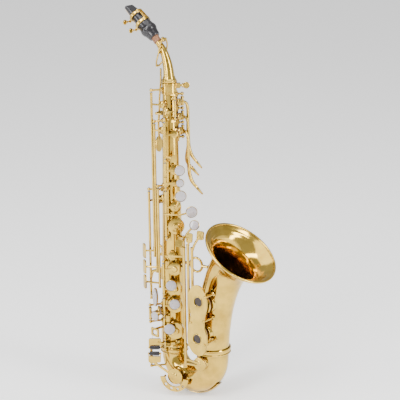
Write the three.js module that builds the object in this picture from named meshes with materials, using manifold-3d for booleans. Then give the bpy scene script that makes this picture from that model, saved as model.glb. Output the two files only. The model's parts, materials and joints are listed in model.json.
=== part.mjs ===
// Curved soprano saxophone, in millimetres, +Z up along the body tube, with the bell towards +X.
// The sub-parts are drawn about the body tube's axis, with height 0 at the bottom of the bow, and the
// whole instrument is then shifted so that the strap ring's centre is the origin.
import * as THREE from 'three';
import { mergeVertices } from 'three/addons/utils/BufferGeometryUtils.js';
import Module from 'manifold-3d';

const wasm = await Module();
wasm.setup();

// ---------------------------------------------------------------- driving dimensions
const GAP = 0.35;                      // clearance kept between touching pieces
const WALL = 1.0;                      // sheet thickness of the brass tubes
const BODY_TOP = 400;                  // top of the neck receiver
const RECEIVER_HEIGHT = 15;
const BODY_BOTTOM = 54;                // where the body tube meets the bow
const BODY_TOP_RADIUS = 8.5;
const BODY_BOTTOM_RADIUS = 15.8;
const RECEIVER_RADIUS = 9.2;
const TENON_RADIUS = 7.5;
const BOW_CENTRE_X = 31;
const BOW_CENTRE_Z = 51;
const BOW_END_RADIUS = 21;
const BELL_JOINT_Z = 66;
const RIM_RADIUS = 48;
const CHIMNEY_RISE = 1.8;              // how far a tone hole's rim stands off the tube
const PAD_SPACE = 2.2;                 // room for a leather pad under a closed cup
const CUP_THICKNESS = 2.8;
const HINGE_RADIUS = 1.9;              // outside of a key's hinge tube
const HINGE_BORE = 1.3;
const STEEL_ROD_RADIUS = 0.95;
const TUBE_SIDES = 16;
const BELL_SIDES = 22;
const POST_RADIUS = 1.5;
const POST_BALL = 2.1;
const PEARL_THICKNESS = 1.8;
const DISH_FLOOR = 0.9;
const STRAP_RING = { x: -23.5, z: 181, radius: 7, wire: 1.5 };

// Hinge lines, as places round the body axis.
const STACK_UPPER = { deg: -34, hinge: polar(-72, 20), open: 10 };
const STACK_LOWER = { deg: -46, hinge: polar(-80, 24), open: 9 };
const LEFT_HINGE = point(-17, -26.5, 0);
const PALM_HINGE = polar(50, 16);
const GSHARP_HINGE = polar(-15, 24);
const OCTAVE_HINGE = polar(-25, 14.5);
const SIDE_HINGES = { e: point(-13.8, -18.5, 0), c: point(-9.6, -19.3, 0), bb: point(-5.2, -20.4, 0) };
const HIGH_FSHARP_HINGE = point(-22.5, -17, 0);
const BELL_HINGES = { csharp: point(40, -27, 0), bb: point(45.5, -26, 0), b: point(51, -25, 0) };

const upperKeys = [
  { name: 'g', tube: [208.9, 238.2], cup: [221, 10.5], pearl: [24, 18.5, 240.5, 6.6], arm: 236.9 },
  { name: 'a', tube: [238.8, 266.1], cup: [246, 7], pearl: [22.6, 5.5, 261.2, 6.5] },
  { name: 'bis', tube: [271.9, 284.4], cup: [276.5, 4.6], pearl: [21.6, 5, 277.8, 4.6] },
  { name: 'b', tube: [285, 302.1], cup: [293, 6.4], pearl: [21.4, 4.8, 293.6, 6] },
];
const lowerKeys = [
  { name: 'd', tube: [74.9, 101.1], cup: [84, 11], pearl: [25.6, -7, 88.6, 6.8] },
  { name: 'e', tube: [106.9, 127.1], cup: [118, 10], pearl: [24.4, 0, 121.3, 6.5] },
  { name: 'f', tube: [132.9, 154.9], cup: [140, 10], pearl: [23.6, -4, 145.9, 6.6] },
];

// ---------------------------------------------------------------- materials
const metal = (colour, roughness) => new THREE.MeshStandardMaterial({ color: colour, roughness, metalness: 1 });
const matt = (colour, roughness) => new THREE.MeshStandardMaterial({ color: colour, roughness, metalness: 0 });
const lacquer = metal(0xd2b068, 0.22);
const lacquerKey = metal(0xd8b870, 0.26);
const steel = metal(0xb8b4a8, 0.35);
const pearl = matt(0xe6ddd6, 0.25);
const ebonite = matt(0x17161a, 0.3);
const corkMaterial = matt(0x9a6240, 0.9);
const cane = matt(0xd9b878, 0.7);

// ---------------------------------------------------------------- geometry helpers
function point(x, y, z) {
  return new THREE.Vector3(x, y, z);
}

// A place at an angle and distance round the body axis.
function polar(degrees, radius, height = 0) {
  const angle = THREE.MathUtils.degToRad(degrees);
  return point(radius * Math.cos(angle), radius * Math.sin(angle), height);
}

// A place given along a tone hole's own direction: out from the axis, sideways, and height.
function beside(degrees, out, side, height) {
  return polar(degrees, out, height).add(polar(degrees + 90, side));
}

const at = (place, height) => point(place.x, place.y, height);

function signedVolume(positions, corners) {
  const [a, b, c] = [point(0, 0, 0), point(0, 0, 0), point(0, 0, 0)];
  let sum = 0;
  for (let i = 0; i < corners.length; i += 3) {
    a.fromArray(positions, 3 * corners[i]);
    b.fromArray(positions, 3 * corners[i + 1]);
    c.fromArray(positions, 3 * corners[i + 2]);
    sum += a.dot(b.cross(c));
  }
  return sum / 6;
}

// Turns a closed three.js geometry into a solid that can be joined and cut.
function solidOf(geometry) {
  const bare = geometry.clone();
  bare.deleteAttribute('normal');
  bare.deleteAttribute('uv');
  const merged = mergeVertices(bare, 1e-3);
  const corners = [];
  for (let i = 0; i < merged.index.count; i += 3) {
    const [a, b, c] = [merged.index.getX(i), merged.index.getX(i + 1), merged.index.getX(i + 2)];
    if (a !== b && b !== c && c !== a) corners.push(a, b, c);
  }
  const positions = Float32Array.from(merged.attributes.position.array);
  if (signedVolume(positions, corners) < 0) corners.reverse();
  const mesh = new wasm.Mesh({ numProp: 3, vertProperties: positions, triVerts: Uint32Array.from(corners) });
  return new wasm.Manifold(mesh);
}

const joined = (...solids) => solids.reduce((whole, next) => whole.add(next));
const cut = (solid, ...tools) => tools.reduce((rest, tool) => rest.subtract(tool), solid);

function geometryOf(solid) {
  const mesh = solid.getMesh();
  const geometry = new THREE.BufferGeometry();
  geometry.setAttribute('position', new THREE.BufferAttribute(mesh.vertProperties, 3));
  geometry.setIndex(new THREE.BufferAttribute(mesh.triVerts, 1));
  const flat = geometry.toNonIndexed();
  flat.computeVertexNormals();
  return flat;
}

// Puts a geometry's own Y axis along a direction, centred on a place.
function aimed(geometry, place, direction) {
  const turn = new THREE.Quaternion().setFromUnitVectors(point(0, 1, 0), direction.clone().normalize());
  geometry.applyQuaternion(turn);
  geometry.translate(place.x, place.y, place.z);
  return solidOf(geometry);
}

function rod(from, to, radius, sides = 6) {
  const along = to.clone().sub(from);
  const middle = from.clone().add(to).multiplyScalar(0.5);
  return aimed(new THREE.CylinderGeometry(radius, radius, along.length(), sides), middle, along);
}

const upright = (place, bottom, top, radius, sides = 6) => rod(at(place, bottom), at(place, top), radius, sides);

function ball(place, radius) {
  const geometry = new THREE.IcosahedronGeometry(radius * 1.12, 0);
  geometry.translate(place.x, place.y, place.z);
  return solidOf(geometry);
}

// A solid of revolution: [radius, height] pairs along a direction from a place.
function turned(profile, place, direction, sides = 10) {
  const points = profile.map(([radius, height]) => new THREE.Vector2(radius, height));
  return aimed(new THREE.LatheGeometry(points, sides), place, direction);
}

function basis(place, normal, up) {
  const z = normal.clone().normalize();
  const y = up.clone().addScaledVector(z, -up.dot(z)).normalize();
  const x = y.clone().cross(z);
  return new THREE.Matrix4().makeBasis(x, y, z).setPosition(place);
}

// A flat bar between two places, with its broad face towards a direction.
function bar(from, to, width, thickness, face) {
  const along = to.clone().sub(from);
  const y = along.clone().normalize();
  const z = face.clone().addScaledVector(y, -face.dot(y)).normalize();
  const middle = from.clone().add(to).multiplyScalar(0.5);
  const geometry = new THREE.BoxGeometry(width, along.length(), thickness);
  geometry.applyMatrix4(new THREE.Matrix4().makeBasis(y.clone().cross(z), y, z).setPosition(middle));
  return solidOf(geometry);
}

// A flat plate cut to an outline, lying on a place with its face towards a direction.
function plate(shape, thickness, place, normal, up = point(0, 0, 1)) {
  const options = { depth: thickness, bevelEnabled: false, curveSegments: shape.arcSteps };
  const geometry = new THREE.ExtrudeGeometry(shape, options);
  return solidOf(geometry.applyMatrix4(basis(place, normal, up)));
}

function bentRod(places, radius, steps = 8) {
  const section = new THREE.Shape().absarc(0, 0, radius, 0, 2 * Math.PI);
  const path = new THREE.CatmullRomCurve3(places);
  const options = { steps, bevelEnabled: false, extrudePath: path, curveSegments: 3 };
  return solidOf(new THREE.ExtrudeGeometry(section, options));
}

// A tapered round bar along a path that stays in the XZ plane.
function swept(path, radiusAt, stations, sides) {
  const positions = [];
  const corners = [];
  for (let i = 0; i <= stations; i += 1) {
    const t = i / stations;
    const middle = path.getPointAt(t);
    const side = point(0, 1, 0).cross(path.getTangentAt(t));
    for (let k = 0; k < sides; k += 1) {
      const angle = (2 * Math.PI * k) / sides;
      const place = middle.clone().addScaledVector(side, radiusAt(t) * Math.cos(angle));
      positions.push(place.x, place.y + radiusAt(t) * Math.sin(angle), place.z);
    }
  }
  for (let i = 0; i < stations; i += 1) {
    for (let k = 0; k < sides; k += 1) {
      const [a, b] = [i * sides + k, i * sides + ((k + 1) % sides)];
      corners.push(a, b, a + sides, b, b + sides, a + sides);
    }
  }
  const last = stations * sides;
  for (let k = 1; k < sides - 1; k += 1) {
    corners.push(0, k + 1, k, last, last + k, last + k + 1);
  }
  const geometry = new THREE.BufferGeometry();
  geometry.setAttribute('position', new THREE.Float32BufferAttribute(positions, 3));
  geometry.setIndex(corners);
  return solidOf(geometry);
}

// The same path carried a little past both ends, for cutting a bore right through.
function overrun(path, radiusAt) {
  const extra = 0.03;
  const length = path.getLength();
  const share = (t) => t * (1 + 2 * extra) - extra;
  const held = (t) => Math.min(1, Math.max(0, share(t)));
  return {
    getPointAt: (t) => {
      const past = (share(t) - held(t)) * length;
      return path.getPointAt(held(t)).addScaledVector(path.getTangentAt(held(t)), past);
    },
    getTangentAt: (t) => path.getTangentAt(held(t)),
    radiusAt: (t) => radiusAt(held(t)),
  };
}

function boreOf(path, radiusAt, stations, sides) {
  const longer = overrun(path, radiusAt);
  return swept(longer, longer.radiusAt, stations, sides);
}

function ellipse(halfWidth, halfHeight) {
  const shape = new THREE.Shape().absellipse(0, 0, halfWidth, halfHeight, 0, 2 * Math.PI);
  shape.arcSteps = 7;
  return shape;
}

function roundedBox(width, height, corner) {
  const [w, h, r] = [width / 2, height / 2, corner];
  const shape = new THREE.Shape();
  shape.arcSteps = 1;
  shape.absarc(w - r, h - r, r, 0, Math.PI / 2);
  shape.absarc(r - w, h - r, r, Math.PI / 2, Math.PI);
  shape.absarc(r - w, r - h, r, Math.PI, 1.5 * Math.PI);
  shape.absarc(w - r, r - h, r, 1.5 * Math.PI, 2 * Math.PI);
  return shape;
}

// ---------------------------------------------------------------- assembling
const saxophone = new THREE.Group();
const instrument = new THREE.Group();
instrument.position.set(-STRAP_RING.x, 0, -STRAP_RING.z);
saxophone.add(instrument);

function addPart(name, solid, material, group = instrument) {
  const mesh = new THREE.Mesh(geometryOf(solid), material);
  mesh.name = name;
  group.add(mesh);
}

// A group turned about an upright hinge line: a key drawn closed is stood open in it.
function swung(hinge, degrees) {
  const turning = new THREE.Group();
  turning.position.copy(hinge);
  turning.rotation.z = THREE.MathUtils.degToRad(degrees);
  const drawn = new THREE.Group();
  drawn.position.copy(hinge).negate();
  turning.add(drawn);
  instrument.add(turning);
  return drawn;
}

// ---------------------------------------------------------------- tubes and their tone holes
function bodyRadius(height) {
  const share = (BODY_TOP - height) / (BODY_TOP - BODY_BOTTOM);
  return BODY_TOP_RADIUS + share * (BODY_BOTTOM_RADIUS - BODY_TOP_RADIUS);
}

const bodyHoles = [
  ...upperKeys.map((key) => ({ z: key.cup[0], deg: STACK_UPPER.deg, radius: key.cup[1] })),
  ...lowerKeys.map((key) => ({ z: key.cup[0], deg: STACK_LOWER.deg, radius: key.cup[1] })),
  { z: 338, deg: STACK_UPPER.deg, radius: 4.6 },
  { z: 165.5, deg: STACK_LOWER.deg, radius: 8.6 },
  { z: 182, deg: -52, radius: 5.6 },
  { z: 65.5, deg: -25, radius: 6.5 },
  { z: 374, deg: -95, radius: 4.6 },
  { z: 342, deg: -95, radius: 4.8 },
  { z: 256, deg: -97, radius: 4.4 },
  { z: 250, deg: -160, radius: 5.4 },
  { z: 104, deg: -140, radius: 6.5 },
  { z: 376, deg: 12, radius: 4.6 },
  { z: 358, deg: 12, radius: 4.8 },
  { z: 340, deg: 12, radius: 5 },
];

const padLevel = (height) => bodyRadius(height) + CHIMNEY_RISE + PAD_SPACE;

function chimney(hole, radius, reach) {
  const top = bodyRadius(hole.z) + reach;
  return rod(polar(hole.deg, 2, hole.z), polar(hole.deg, top, hole.z), radius, 8);
}

// A key post: a pillar from the tube's wall to a ball on the hinge line.
function post(hinge, height, wall = bodyRadius(height)) {
  const start = at(hinge, 0).setLength(wall - WALL / 2).setZ(height);
  return joined(rod(start, at(hinge, height), POST_RADIUS, 5), ball(at(hinge, height), POST_BALL));
}

function receiver() {
  const low = BODY_TOP - RECEIVER_HEIGHT;
  const sleeve = turned([[0, low], [RECEIVER_RADIUS, low], [RECEIVER_RADIUS, BODY_TOP], [0, BODY_TOP]],
    point(0, 0, 0), point(0, 0, 1), TUBE_SIDES);
  const [near, far] = [RECEIVER_RADIUS - 1, RECEIVER_RADIUS + 4.5].map((out) => polar(38, out, 396));
  const lug = bar(near, far, 6, 6, point(0, 0, 1));
  return joined(sleeve, lug);
}

function bodyTube() {
  const outline = [
    [0, BODY_BOTTOM], [BODY_BOTTOM_RADIUS, BODY_BOTTOM], [BODY_TOP_RADIUS + 0.1, BODY_TOP - 10], [0, BODY_TOP - 10],
  ];
  const seat = BODY_TOP - RECEIVER_HEIGHT + 1;
  const inside = [
    [0, BODY_BOTTOM - 1], [BODY_BOTTOM_RADIUS - WALL, BODY_BOTTOM - 1], [BODY_TOP_RADIUS - WALL, seat],
    [TENON_RADIUS + GAP, seat], [TENON_RADIUS + GAP, BODY_TOP + 1], [0, BODY_TOP + 1],
  ];
  const shell = turned(outline, point(0, 0, 0), point(0, 0, 1), TUBE_SIDES);
  const bore = turned(inside, point(0, 0, 0), point(0, 0, 1), TUBE_SIDES);
  const chimneys = bodyHoles.map((hole) => chimney(hole, hole.radius - 1, CHIMNEY_RISE));
  const holes = bodyHoles.map((hole) => chimney(hole, hole.radius - 1.9, CHIMNEY_RISE + 1));
  const posts = [
    ...[206, 269, 305, 356].map((z) => post(STACK_UPPER.hinge, z)),
    ...[59.4, 72, 104, 130, 176].map((z) => post(STACK_LOWER.hinge, z)),
    ...[60, 93, 115].map((z) => post(LEFT_HINGE, z)),
    ...[331, 349, 367, 385].map((z) => post(PALM_HINGE, z)),
    ...[168, 207].map((z) => post(GSHARP_HINGE, z)),
    post(SIDE_HINGES.e, 391.5),
    post(SIDE_HINGES.c, 353),
    post(SIDE_HINGES.bb, 271.5),
    post(HIGH_FSHARP_HINGE, 264.5),
    post(OCTAVE_HINGE, 356.5),
    post(OCTAVE_HINGE, 382),
    rod(at(point(-8, 5.5, 0), 360), at(point(-17, 5.5, 0), 360), POST_RADIUS),
    rod(at(point(-8, -5.5, 0), 360), at(point(-17, -5.5, 0), 360), POST_RADIUS),
  ];
  const rodHoles = [
    upright(STACK_UPPER.hinge, 200, 360, HINGE_BORE),
    upright(STACK_LOWER.hinge, 68, 180, HINGE_BORE),
    rod(polar(38, TENON_RADIUS + 1.2, 396), polar(38, RECEIVER_RADIUS + 6, 396), 1.9, 10),
  ];
  return cut(joined(shell, receiver(), ...chimneys, ...posts), bore, ...holes, ...rodHoles);
}

function neckPath() {
  return new THREE.CatmullRomCurve3([
    point(0, 0, 386.5), point(0, 0, 402), point(-2, 0, 421), point(-7.6, 0, 437), point(-15, 0, 447),
    point(-22, 0, 454.8), point(-29, 0, 461.2),
  ]);
}

function neckTube() {
  const path = neckPath();
  const outer = (t) => THREE.MathUtils.lerp(TENON_RADIUS, 3.9, Math.min(1, Math.max(0, (t - 0.17) / 0.6)));
  const tube = swept(path, outer, 10, 12);
  const bore = boreOf(path, (t) => outer(t) - WALL, 11, 12);
  const z = BODY_TOP + GAP;
  const collar = turned([[0, z], [9.4, z], [9.9, z + 1.2], [9.4, z + 3], [7.6, z + 5], [0, z + 5]],
    point(0, 0, 0), point(0, 0, 1), TUBE_SIDES);
  const pip = rod(point(-14, 0, 447.8), point(-10.1, 0, 450.8), 1.7);
  const saddle = [-1, 1].map((side) => rod(point(-9, side * 3.5, 437), point(-9.4, side * 6, 436.6), 1.3));
  return cut(joined(tube, collar, pip, ...saddle), bore);
}

function bowPath() {
  const places = [point(0, 0, BODY_BOTTOM - GAP)];
  for (let degrees = 0; degrees <= 180; degrees += 15) {
    const angle = THREE.MathUtils.degToRad(degrees);
    const radius = BOW_CENTRE_X;
    places.push(point(BOW_CENTRE_X - radius * Math.cos(angle), 0, BOW_CENTRE_Z - radius * Math.sin(angle)));
  }
  places.push(point(2 * BOW_CENTRE_X + 0.3, 0, BELL_JOINT_Z - 0.9));
  return new THREE.CatmullRomCurve3(places);
}

const bowRadius = (t) => THREE.MathUtils.lerp(BODY_BOTTOM_RADIUS, BOW_END_RADIUS, t);
const LOW_C_HOLE = { centre: point(13.2, 0, 25.6), deg: -75, radius: 10.5, wall: 17.4 };
const CSHARP_HOLE = { centre: point(60.5, 0, 52), deg: -90, radius: 9, wall: 20.6 };

function holeOn(hole, radius, reach) {
  const end = hole.centre.clone().add(polar(hole.deg, hole.wall + reach));
  return rod(hole.centre, end, radius, 12);
}

function bowTube() {
  const path = bowPath();
  const lowPost = joined(
    rod(point(0, -9, 33), at(LEFT_HINGE, 33), POST_RADIUS),
    ball(at(LEFT_HINGE, 33), POST_BALL),
  );
  const holes = [LOW_C_HOLE, CSHARP_HOLE];
  const outer = joined(
    swept(path, bowRadius, 11, TUBE_SIDES), lowPost,
    ...holes.map((hole) => holeOn(hole, hole.radius - 1, CHIMNEY_RISE)),
  );
  const bore = boreOf(path, (t) => bowRadius(t) - WALL, 12, TUBE_SIDES);
  return cut(outer, bore, ...holes.map((hole) => holeOn(hole, hole.radius - 1.9, CHIMNEY_RISE + 1)));
}

function jointRing(x, low, high, inner, outer) {
  const bulge = outer + 0.7;
  return turned(
    [[inner, low], [outer, low], [bulge, low + 0.3 * (high - low)], [bulge, low + 0.7 * (high - low)],
      [outer, high], [inner, high], [inner, low]],
    point(x, 0, 0), point(0, 0, 1), TUBE_SIDES);
}

function bellPath() {
  return new THREE.CatmullRomCurve3([
    point(62.3, 0, BELL_JOINT_Z), point(62.6, 0, 80), point(64, 0, 96), point(70, 0, 130), point(84, 0, 168),
    point(107.5, 0, 200),
  ]);
}

const BELL_LENGTH = bellPath().getLength();

// The bell widens slowly, then flares over its last few centimetres.
function bellRadius(t) {
  const fromRim = (1 - Math.min(1, Math.max(0, t))) * BELL_LENGTH;
  const barrel = THREE.MathUtils.lerp(BOW_END_RADIUS, BOW_END_RADIUS + 3, t);
  return barrel + (RIM_RADIUS - BOW_END_RADIUS - 3) * Math.exp(-fromRim / 11.5);
}

const BELL_KEYS = {
  bb: { centre: point(62.8, 0, 93), deg: -90, radius: 14, wall: 21.6 },
  b: { centre: point(70.4, 0, 134), deg: -90, radius: 13, wall: 22.4 },
};

function bell() {
  const path = bellPath();
  const stations = 12;
  const eased = (t) => 1 - (1 - t) ** 1.6;
  const easedAlong = (line) => ({
    getPointAt: (t) => line.getPointAt(eased(t)),
    getTangentAt: (t) => line.getTangentAt(eased(t)),
  });
  const holes = Object.values(BELL_KEYS);
  const hingePosts = [
    [BELL_HINGES.b, 121, 68.5], [BELL_HINGES.bb, 75, 62.8],
  ].map(([hinge, z, middle]) => joined(
    rod(point(middle - 12, -12, z), at(hinge, z), POST_RADIUS), ball(at(hinge, z), POST_BALL)));
  const outer = joined(
    swept(easedAlong(path), (t) => bellRadius(eased(t)), stations, BELL_SIDES), ...hingePosts,
    ...holes.map((hole) => holeOn(hole, hole.radius - 1, CHIMNEY_RISE)),
  );
  const inset = 0.9 / BELL_LENGTH;
  const longer = overrun(path, (t) => bellRadius(t - inset) - 0.8);
  const bore = swept(easedAlong(longer), (t) => longer.radiusAt(eased(t)), stations, BELL_SIDES);
  return cut(outer, bore, ...holes.map((hole) => holeOn(hole, hole.radius - 1.9, CHIMNEY_RISE + 1)));
}

addPart('body_tube', bodyTube(), lacquer);
addPart('neck', neckTube(), lacquer);
addPart('bow', bowTube(), lacquer);
addPart('bell', bell(), lacquer);
addPart('body_bow_ring', jointRing(0, 50, 57.5, 16.4, 17.4), lacquer);
addPart('bow_bell_ring', jointRing(62.4, 62, 70, 21.8, 22.8), lacquer);

// ---------------------------------------------------------------- mouthpiece
const MOUTHPIECE_END = point(-21, 0, 454);
const MOUTHPIECE_AXIS = point(-0.752, 0, 0.659);
const REED_SIDE = point(-0.659, 0, -0.752);
const MOUTHPIECE_LENGTH = 54.6;
const alongMouthpiece = (s, down = 0, side = 0) => MOUTHPIECE_END.clone()
  .addScaledVector(MOUTHPIECE_AXIS, s).addScaledVector(REED_SIDE, down).add(point(0, side, 0));

function mouthpiece() {
  const outline = [
    [0, 0], [6.9, 0], [7.4, 1.2], [8.8, 8], [10, 10.5], [10.3, 14], [9.4, 17], [8.4, 26], [7.3, 38],
    [6.3, MOUTHPIECE_LENGTH], [0, MOUTHPIECE_LENGTH],
  ];
  const body = turned(outline, MOUTHPIECE_END, MOUTHPIECE_AXIS, 18);
  const shank = rod(alongMouthpiece(-1), alongMouthpiece(20), 5.7, 14);
  const chamber = rod(alongMouthpiece(19), alongMouthpiece(38), 3.4, 10);
  const table = bar(alongMouthpiece(19.5, 15.3), alongMouthpiece(60, 14.2), 30, 20, REED_SIDE);
  const beak = bar(alongMouthpiece(33, -16.4), alongMouthpiece(60, -9.6), 30, 20, REED_SIDE);
  const window = bar(alongMouthpiece(30, 3.4), alongMouthpiece(51.5, 3.4), 7.4, 5.2, REED_SIDE);
  return cut(body, shank, chamber, table, beak, window);
}

function reed() {
  const shape = new THREE.Shape([
    new THREE.Vector2(0, 0), new THREE.Vector2(31.5, 0), new THREE.Vector2(31.5, 0.35),
    new THREE.Vector2(16, 1.6), new THREE.Vector2(0, 1.8),
  ]);
  const geometry = new THREE.ExtrudeGeometry(shape, { depth: 8.4, bevelEnabled: false });
  const start = alongMouthpiece(22.6, 5.65, 4.2);
  const slope = alongMouthpiece(55, 4.7).sub(alongMouthpiece(22.6, 5.65)).normalize();
  const across = point(0, -1, 0);
  geometry.applyMatrix4(new THREE.Matrix4().makeBasis(slope, across.clone().cross(slope), across).setPosition(start));
  return solidOf(geometry);
}

const LIGATURE_BANDS = [{ s: 25, inner: 9.15, drop: 12 }, { s: 38.4, inner: 8.3, drop: 10.8 }];

function ligature() {
  const bands = LIGATURE_BANDS.map(({ s, inner }) => turned(
    [[inner, -1.6], [inner + 0.8, -1.6], [inner + 0.8, 1.6], [inner, 1.6], [inner, -1.6]],
    alongMouthpiece(s), MOUTHPIECE_AXIS, 14));
  const bridge = bar(alongMouthpiece(24, -9.5), alongMouthpiece(39.4, -8.6), 4, 0.8, REED_SIDE);
  const lug = ({ s, inner, drop }, side) => bar(
    alongMouthpiece(s, inner - 1.2, side), alongMouthpiece(s, drop + 1.6, side), 3.2, 2,
    MOUTHPIECE_AXIS.clone().cross(REED_SIDE));
  const lugs = LIGATURE_BANDS.map((band) => joined(lug(band, -4), lug(band, 4)));
  const holes = LIGATURE_BANDS.map(
    ({ s, drop }) => rod(alongMouthpiece(s, drop, -8), alongMouthpiece(s, drop, 8), 1.2, 8));
  return cut(joined(...bands, bridge, ...lugs), ...holes);
}

// A thumbscrew: a plain shank with a flat round head at its near end.
function thumbScrew(tip, head, shank, headRadius) {
  const along = head.clone().sub(tip).normalize();
  const face = along.clone().cross(point(0, 0, 1)).normalize().multiplyScalar(0.8);
  const collarEnd = head.clone().addScaledVector(along, 1 - headRadius);
  return joined(
    rod(tip, head, shank),
    rod(collarEnd.clone().addScaledVector(along, -2.4), collarEnd, shank * 1.7),
    rod(head.clone().sub(face), head.clone().add(face), headRadius, 12),
  );
}

function neckCork() {
  const path = neckPath();
  const end = new THREE.CatmullRomCurve3([0.79, 0.86, 0.93, 0.99].map((t) => path.getPointAt(t)));
  return cut(swept(end, () => 4.85, 4, 12), boreOf(end, () => 4.25, 5, 12));
}

addPart('mouthpiece', mouthpiece(), ebonite);
addPart('reed', reed(), cane);
addPart('ligature', ligature(), lacquerKey);
['ligature_screw_lower', 'ligature_screw_upper'].forEach((name, i) => {
  const { s, drop } = LIGATURE_BANDS[i];
  addPart(name, thumbScrew(alongMouthpiece(s, drop, 5.2), alongMouthpiece(s, drop, -14), 0.85, 3.1), lacquerKey);
});
addPart('neck_cork', neckCork(), corkMaterial);
addPart('neck_screw', thumbScrew(polar(38, 9, 396), polar(38, 21, 396), 1.5, 4.1), lacquerKey);

// ---------------------------------------------------------------- key parts
const Z = point(0, 0, 1);
const hingeTube = (hinge, bottom, top, radius = HINGE_RADIUS) => upright(hinge, bottom, top, radius);

// A key cup drawn on its tone hole: flat below, domed above.
function cup(degrees, height, radius, level = padLevel(height)) {
  return cupAt(polar(degrees, level, height), polar(degrees, 1), radius);
}

function cupAt(place, normal, radius) {
  const profile = [[0, 0], [radius, 0], [radius, 1.4], [0, CUP_THICKNESS]];
  return turned(profile, place, normal);
}

// An arm from a hinge line to the top of a cup.
function arm(hinge, height, end, width = 2.6) {
  const start = at(hinge, height);
  const outward = end.clone().sub(start).cross(Z).normalize();
  return bar(start, end, width, 1.8, outward);
}

// The seat that a round finger pearl stands on.
function dish(place, normal, radius) {
  return turned([[0, 0], [radius + 0.8, 0], [radius + 0.8, DISH_FLOOR], [0, DISH_FLOOR]], place, normal);
}

function pearlDisc(place, normal, radius) {
  const base = place.clone().addScaledVector(normal, DISH_FLOOR + GAP);
  return turned([[0, 0], [radius, 0], [radius, 1], [0, PEARL_THICKNESS]], base, normal);
}

// ---------------------------------------------------------------- the two key stacks
function stackKey(key, stack) {
  const [height, radius] = key.cup;
  const [out, side, pearlHeight, pearlRadius] = key.pearl;
  const normal = polar(stack.deg, 1);
  const group = swung(stack.hinge, -stack.open);
  const top = polar(stack.deg, padLevel(height) + CUP_THICKNESS - 0.8, height);
  const dishPlace = beside(stack.deg, out, side, pearlHeight);
  const stemEnd = dishPlace.clone().addScaledVector(normal, -0.6);
  const tube = cut(
    hingeTube(stack.hinge, key.tube[0], key.tube[1]),
    upright(stack.hinge, key.tube[0] - 1, key.tube[1] + 1, HINGE_BORE));
  const pearlArm = key.arm
    ? bentRod(
      [at(stack.hinge, key.arm).addScaledVector(normal, 1.5), beside(stack.deg, out - 2, 4, key.arm), stemEnd], 1.1)
    : rod(polar(stack.deg, out - 3, height), stemEnd, 1.3);
  const body = joined(
    arm(stack.hinge, height, top), cup(stack.deg, height, radius), pearlArm, dish(dishPlace, normal, pearlRadius));
  const boreClear = upright(stack.hinge, key.tube[0], key.tube[1], HINGE_BORE);
  addPart(`${key.name}_key`, joined(cut(body, boreClear), tube), lacquerKey, group);
  addPart(`${key.name}_pearl`, pearlDisc(dishPlace, normal, pearlRadius), pearl, group);
}

upperKeys.forEach((key) => stackKey(key, STACK_UPPER));
lowerKeys.forEach((key) => stackKey(key, STACK_LOWER));

addPart('upper_stack_rod', upright(STACK_UPPER.hinge, 203, 359, STEEL_ROD_RADIUS), steel);
addPart('lower_stack_rod', upright(STACK_LOWER.hinge, 69.5, 179, STEEL_ROD_RADIUS), steel);

function boredTube(hinge, bottom, top) {
  return cut(hingeTube(hinge, bottom, top), upright(hinge, bottom - 1, top + 1, HINGE_BORE));
}

function frontFKey() {
  const { hinge, deg } = STACK_UPPER;
  const body = joined(
    arm(hinge, 338, polar(deg, padLevel(338) + 2, 338)), cup(deg, 338, 4.6),
    arm(hinge, 311, beside(deg, 20.4, -3, 309), 2.4),
    plate(ellipse(3.2, 5), 1.6, beside(deg, 20, -2, 308.5), polar(deg, 1)));
  return joined(cut(body, upright(hinge, 300, 350, HINGE_BORE)), boredTube(hinge, 307.9, 353.1));
}

function fSharpAuxKey() {
  const { hinge, deg } = STACK_LOWER;
  const body = joined(arm(hinge, 165.5, polar(deg, padLevel(165.5) + 2, 165.5)), cup(deg, 165.5, 8.6));
  return joined(cut(body, upright(hinge, 157, 174, HINGE_BORE)), boredTube(hinge, 155.4, 173.1));
}

addPart('front_f_key', frontFKey(), lacquerKey, swung(STACK_UPPER.hinge, -STACK_UPPER.open));
addPart('fsharp_aux_key', fSharpAuxKey(), lacquerKey, swung(STACK_LOWER.hinge, -STACK_LOWER.open));

// ---------------------------------------------------------------- G sharp, C sharp and the bell keys
const GSHARP_PEARL = { place: point(49, -16.5, 229), normal: point(0.45, -0.85, 0.3).normalize() };

function gSharpKey() {
  const { place, normal } = GSHARP_PEARL;
  return joined(
    hingeTube(GSHARP_HINGE, 170.9, 204.1),
    arm(GSHARP_HINGE, 182, polar(-52, padLevel(182) + 2, 182)), cup(-52, 182, 5.6),
    bentRod([at(GSHARP_HINGE, 202), point(33, -12, 214), place.clone().addScaledVector(normal, -0.6)], 1.3),
    dish(place, normal, 5.6));
}

function bellKey(hinge, hole, bottom, top, touch) {
  const cupPlace = hole.centre.clone().add(polar(-90, hole.wall + CHIMNEY_RISE + PAD_SPACE));
  const z = hole.centre.z;
  const crest = cupPlace.clone().add(point(0, 0.9 - CUP_THICKNESS, 0));
  const outline = roundedBox(touch.width, touch.height, 2);
  return joined(
    hingeTube(hinge, bottom, top),
    bar(at(hinge, z - 3), crest, 3, 2, point(0, -1, 0)), bar(at(hinge, z + 3), crest, 3, 2, point(0, -1, 0)),
    cupAt(cupPlace, point(0, -1, 0), hole.radius),
    rod(at(hinge, top - 1.6), point(touch.x, touch.y + 1, touch.z), 1.5),
    plate(outline, 1.8, point(touch.x, touch.y + 1.2, touch.z), point(0.2, -1, 0.15)));
}

const touches = {
  b: { x: 60.5, y: -20, z: 219, width: 10, height: 11 },
  bb: { x: 47, y: -25, z: 214.5, width: 9, height: 12 },
  csharp: { x: 34, y: -29.5, z: 206, width: 10, height: 9 },
};

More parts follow.
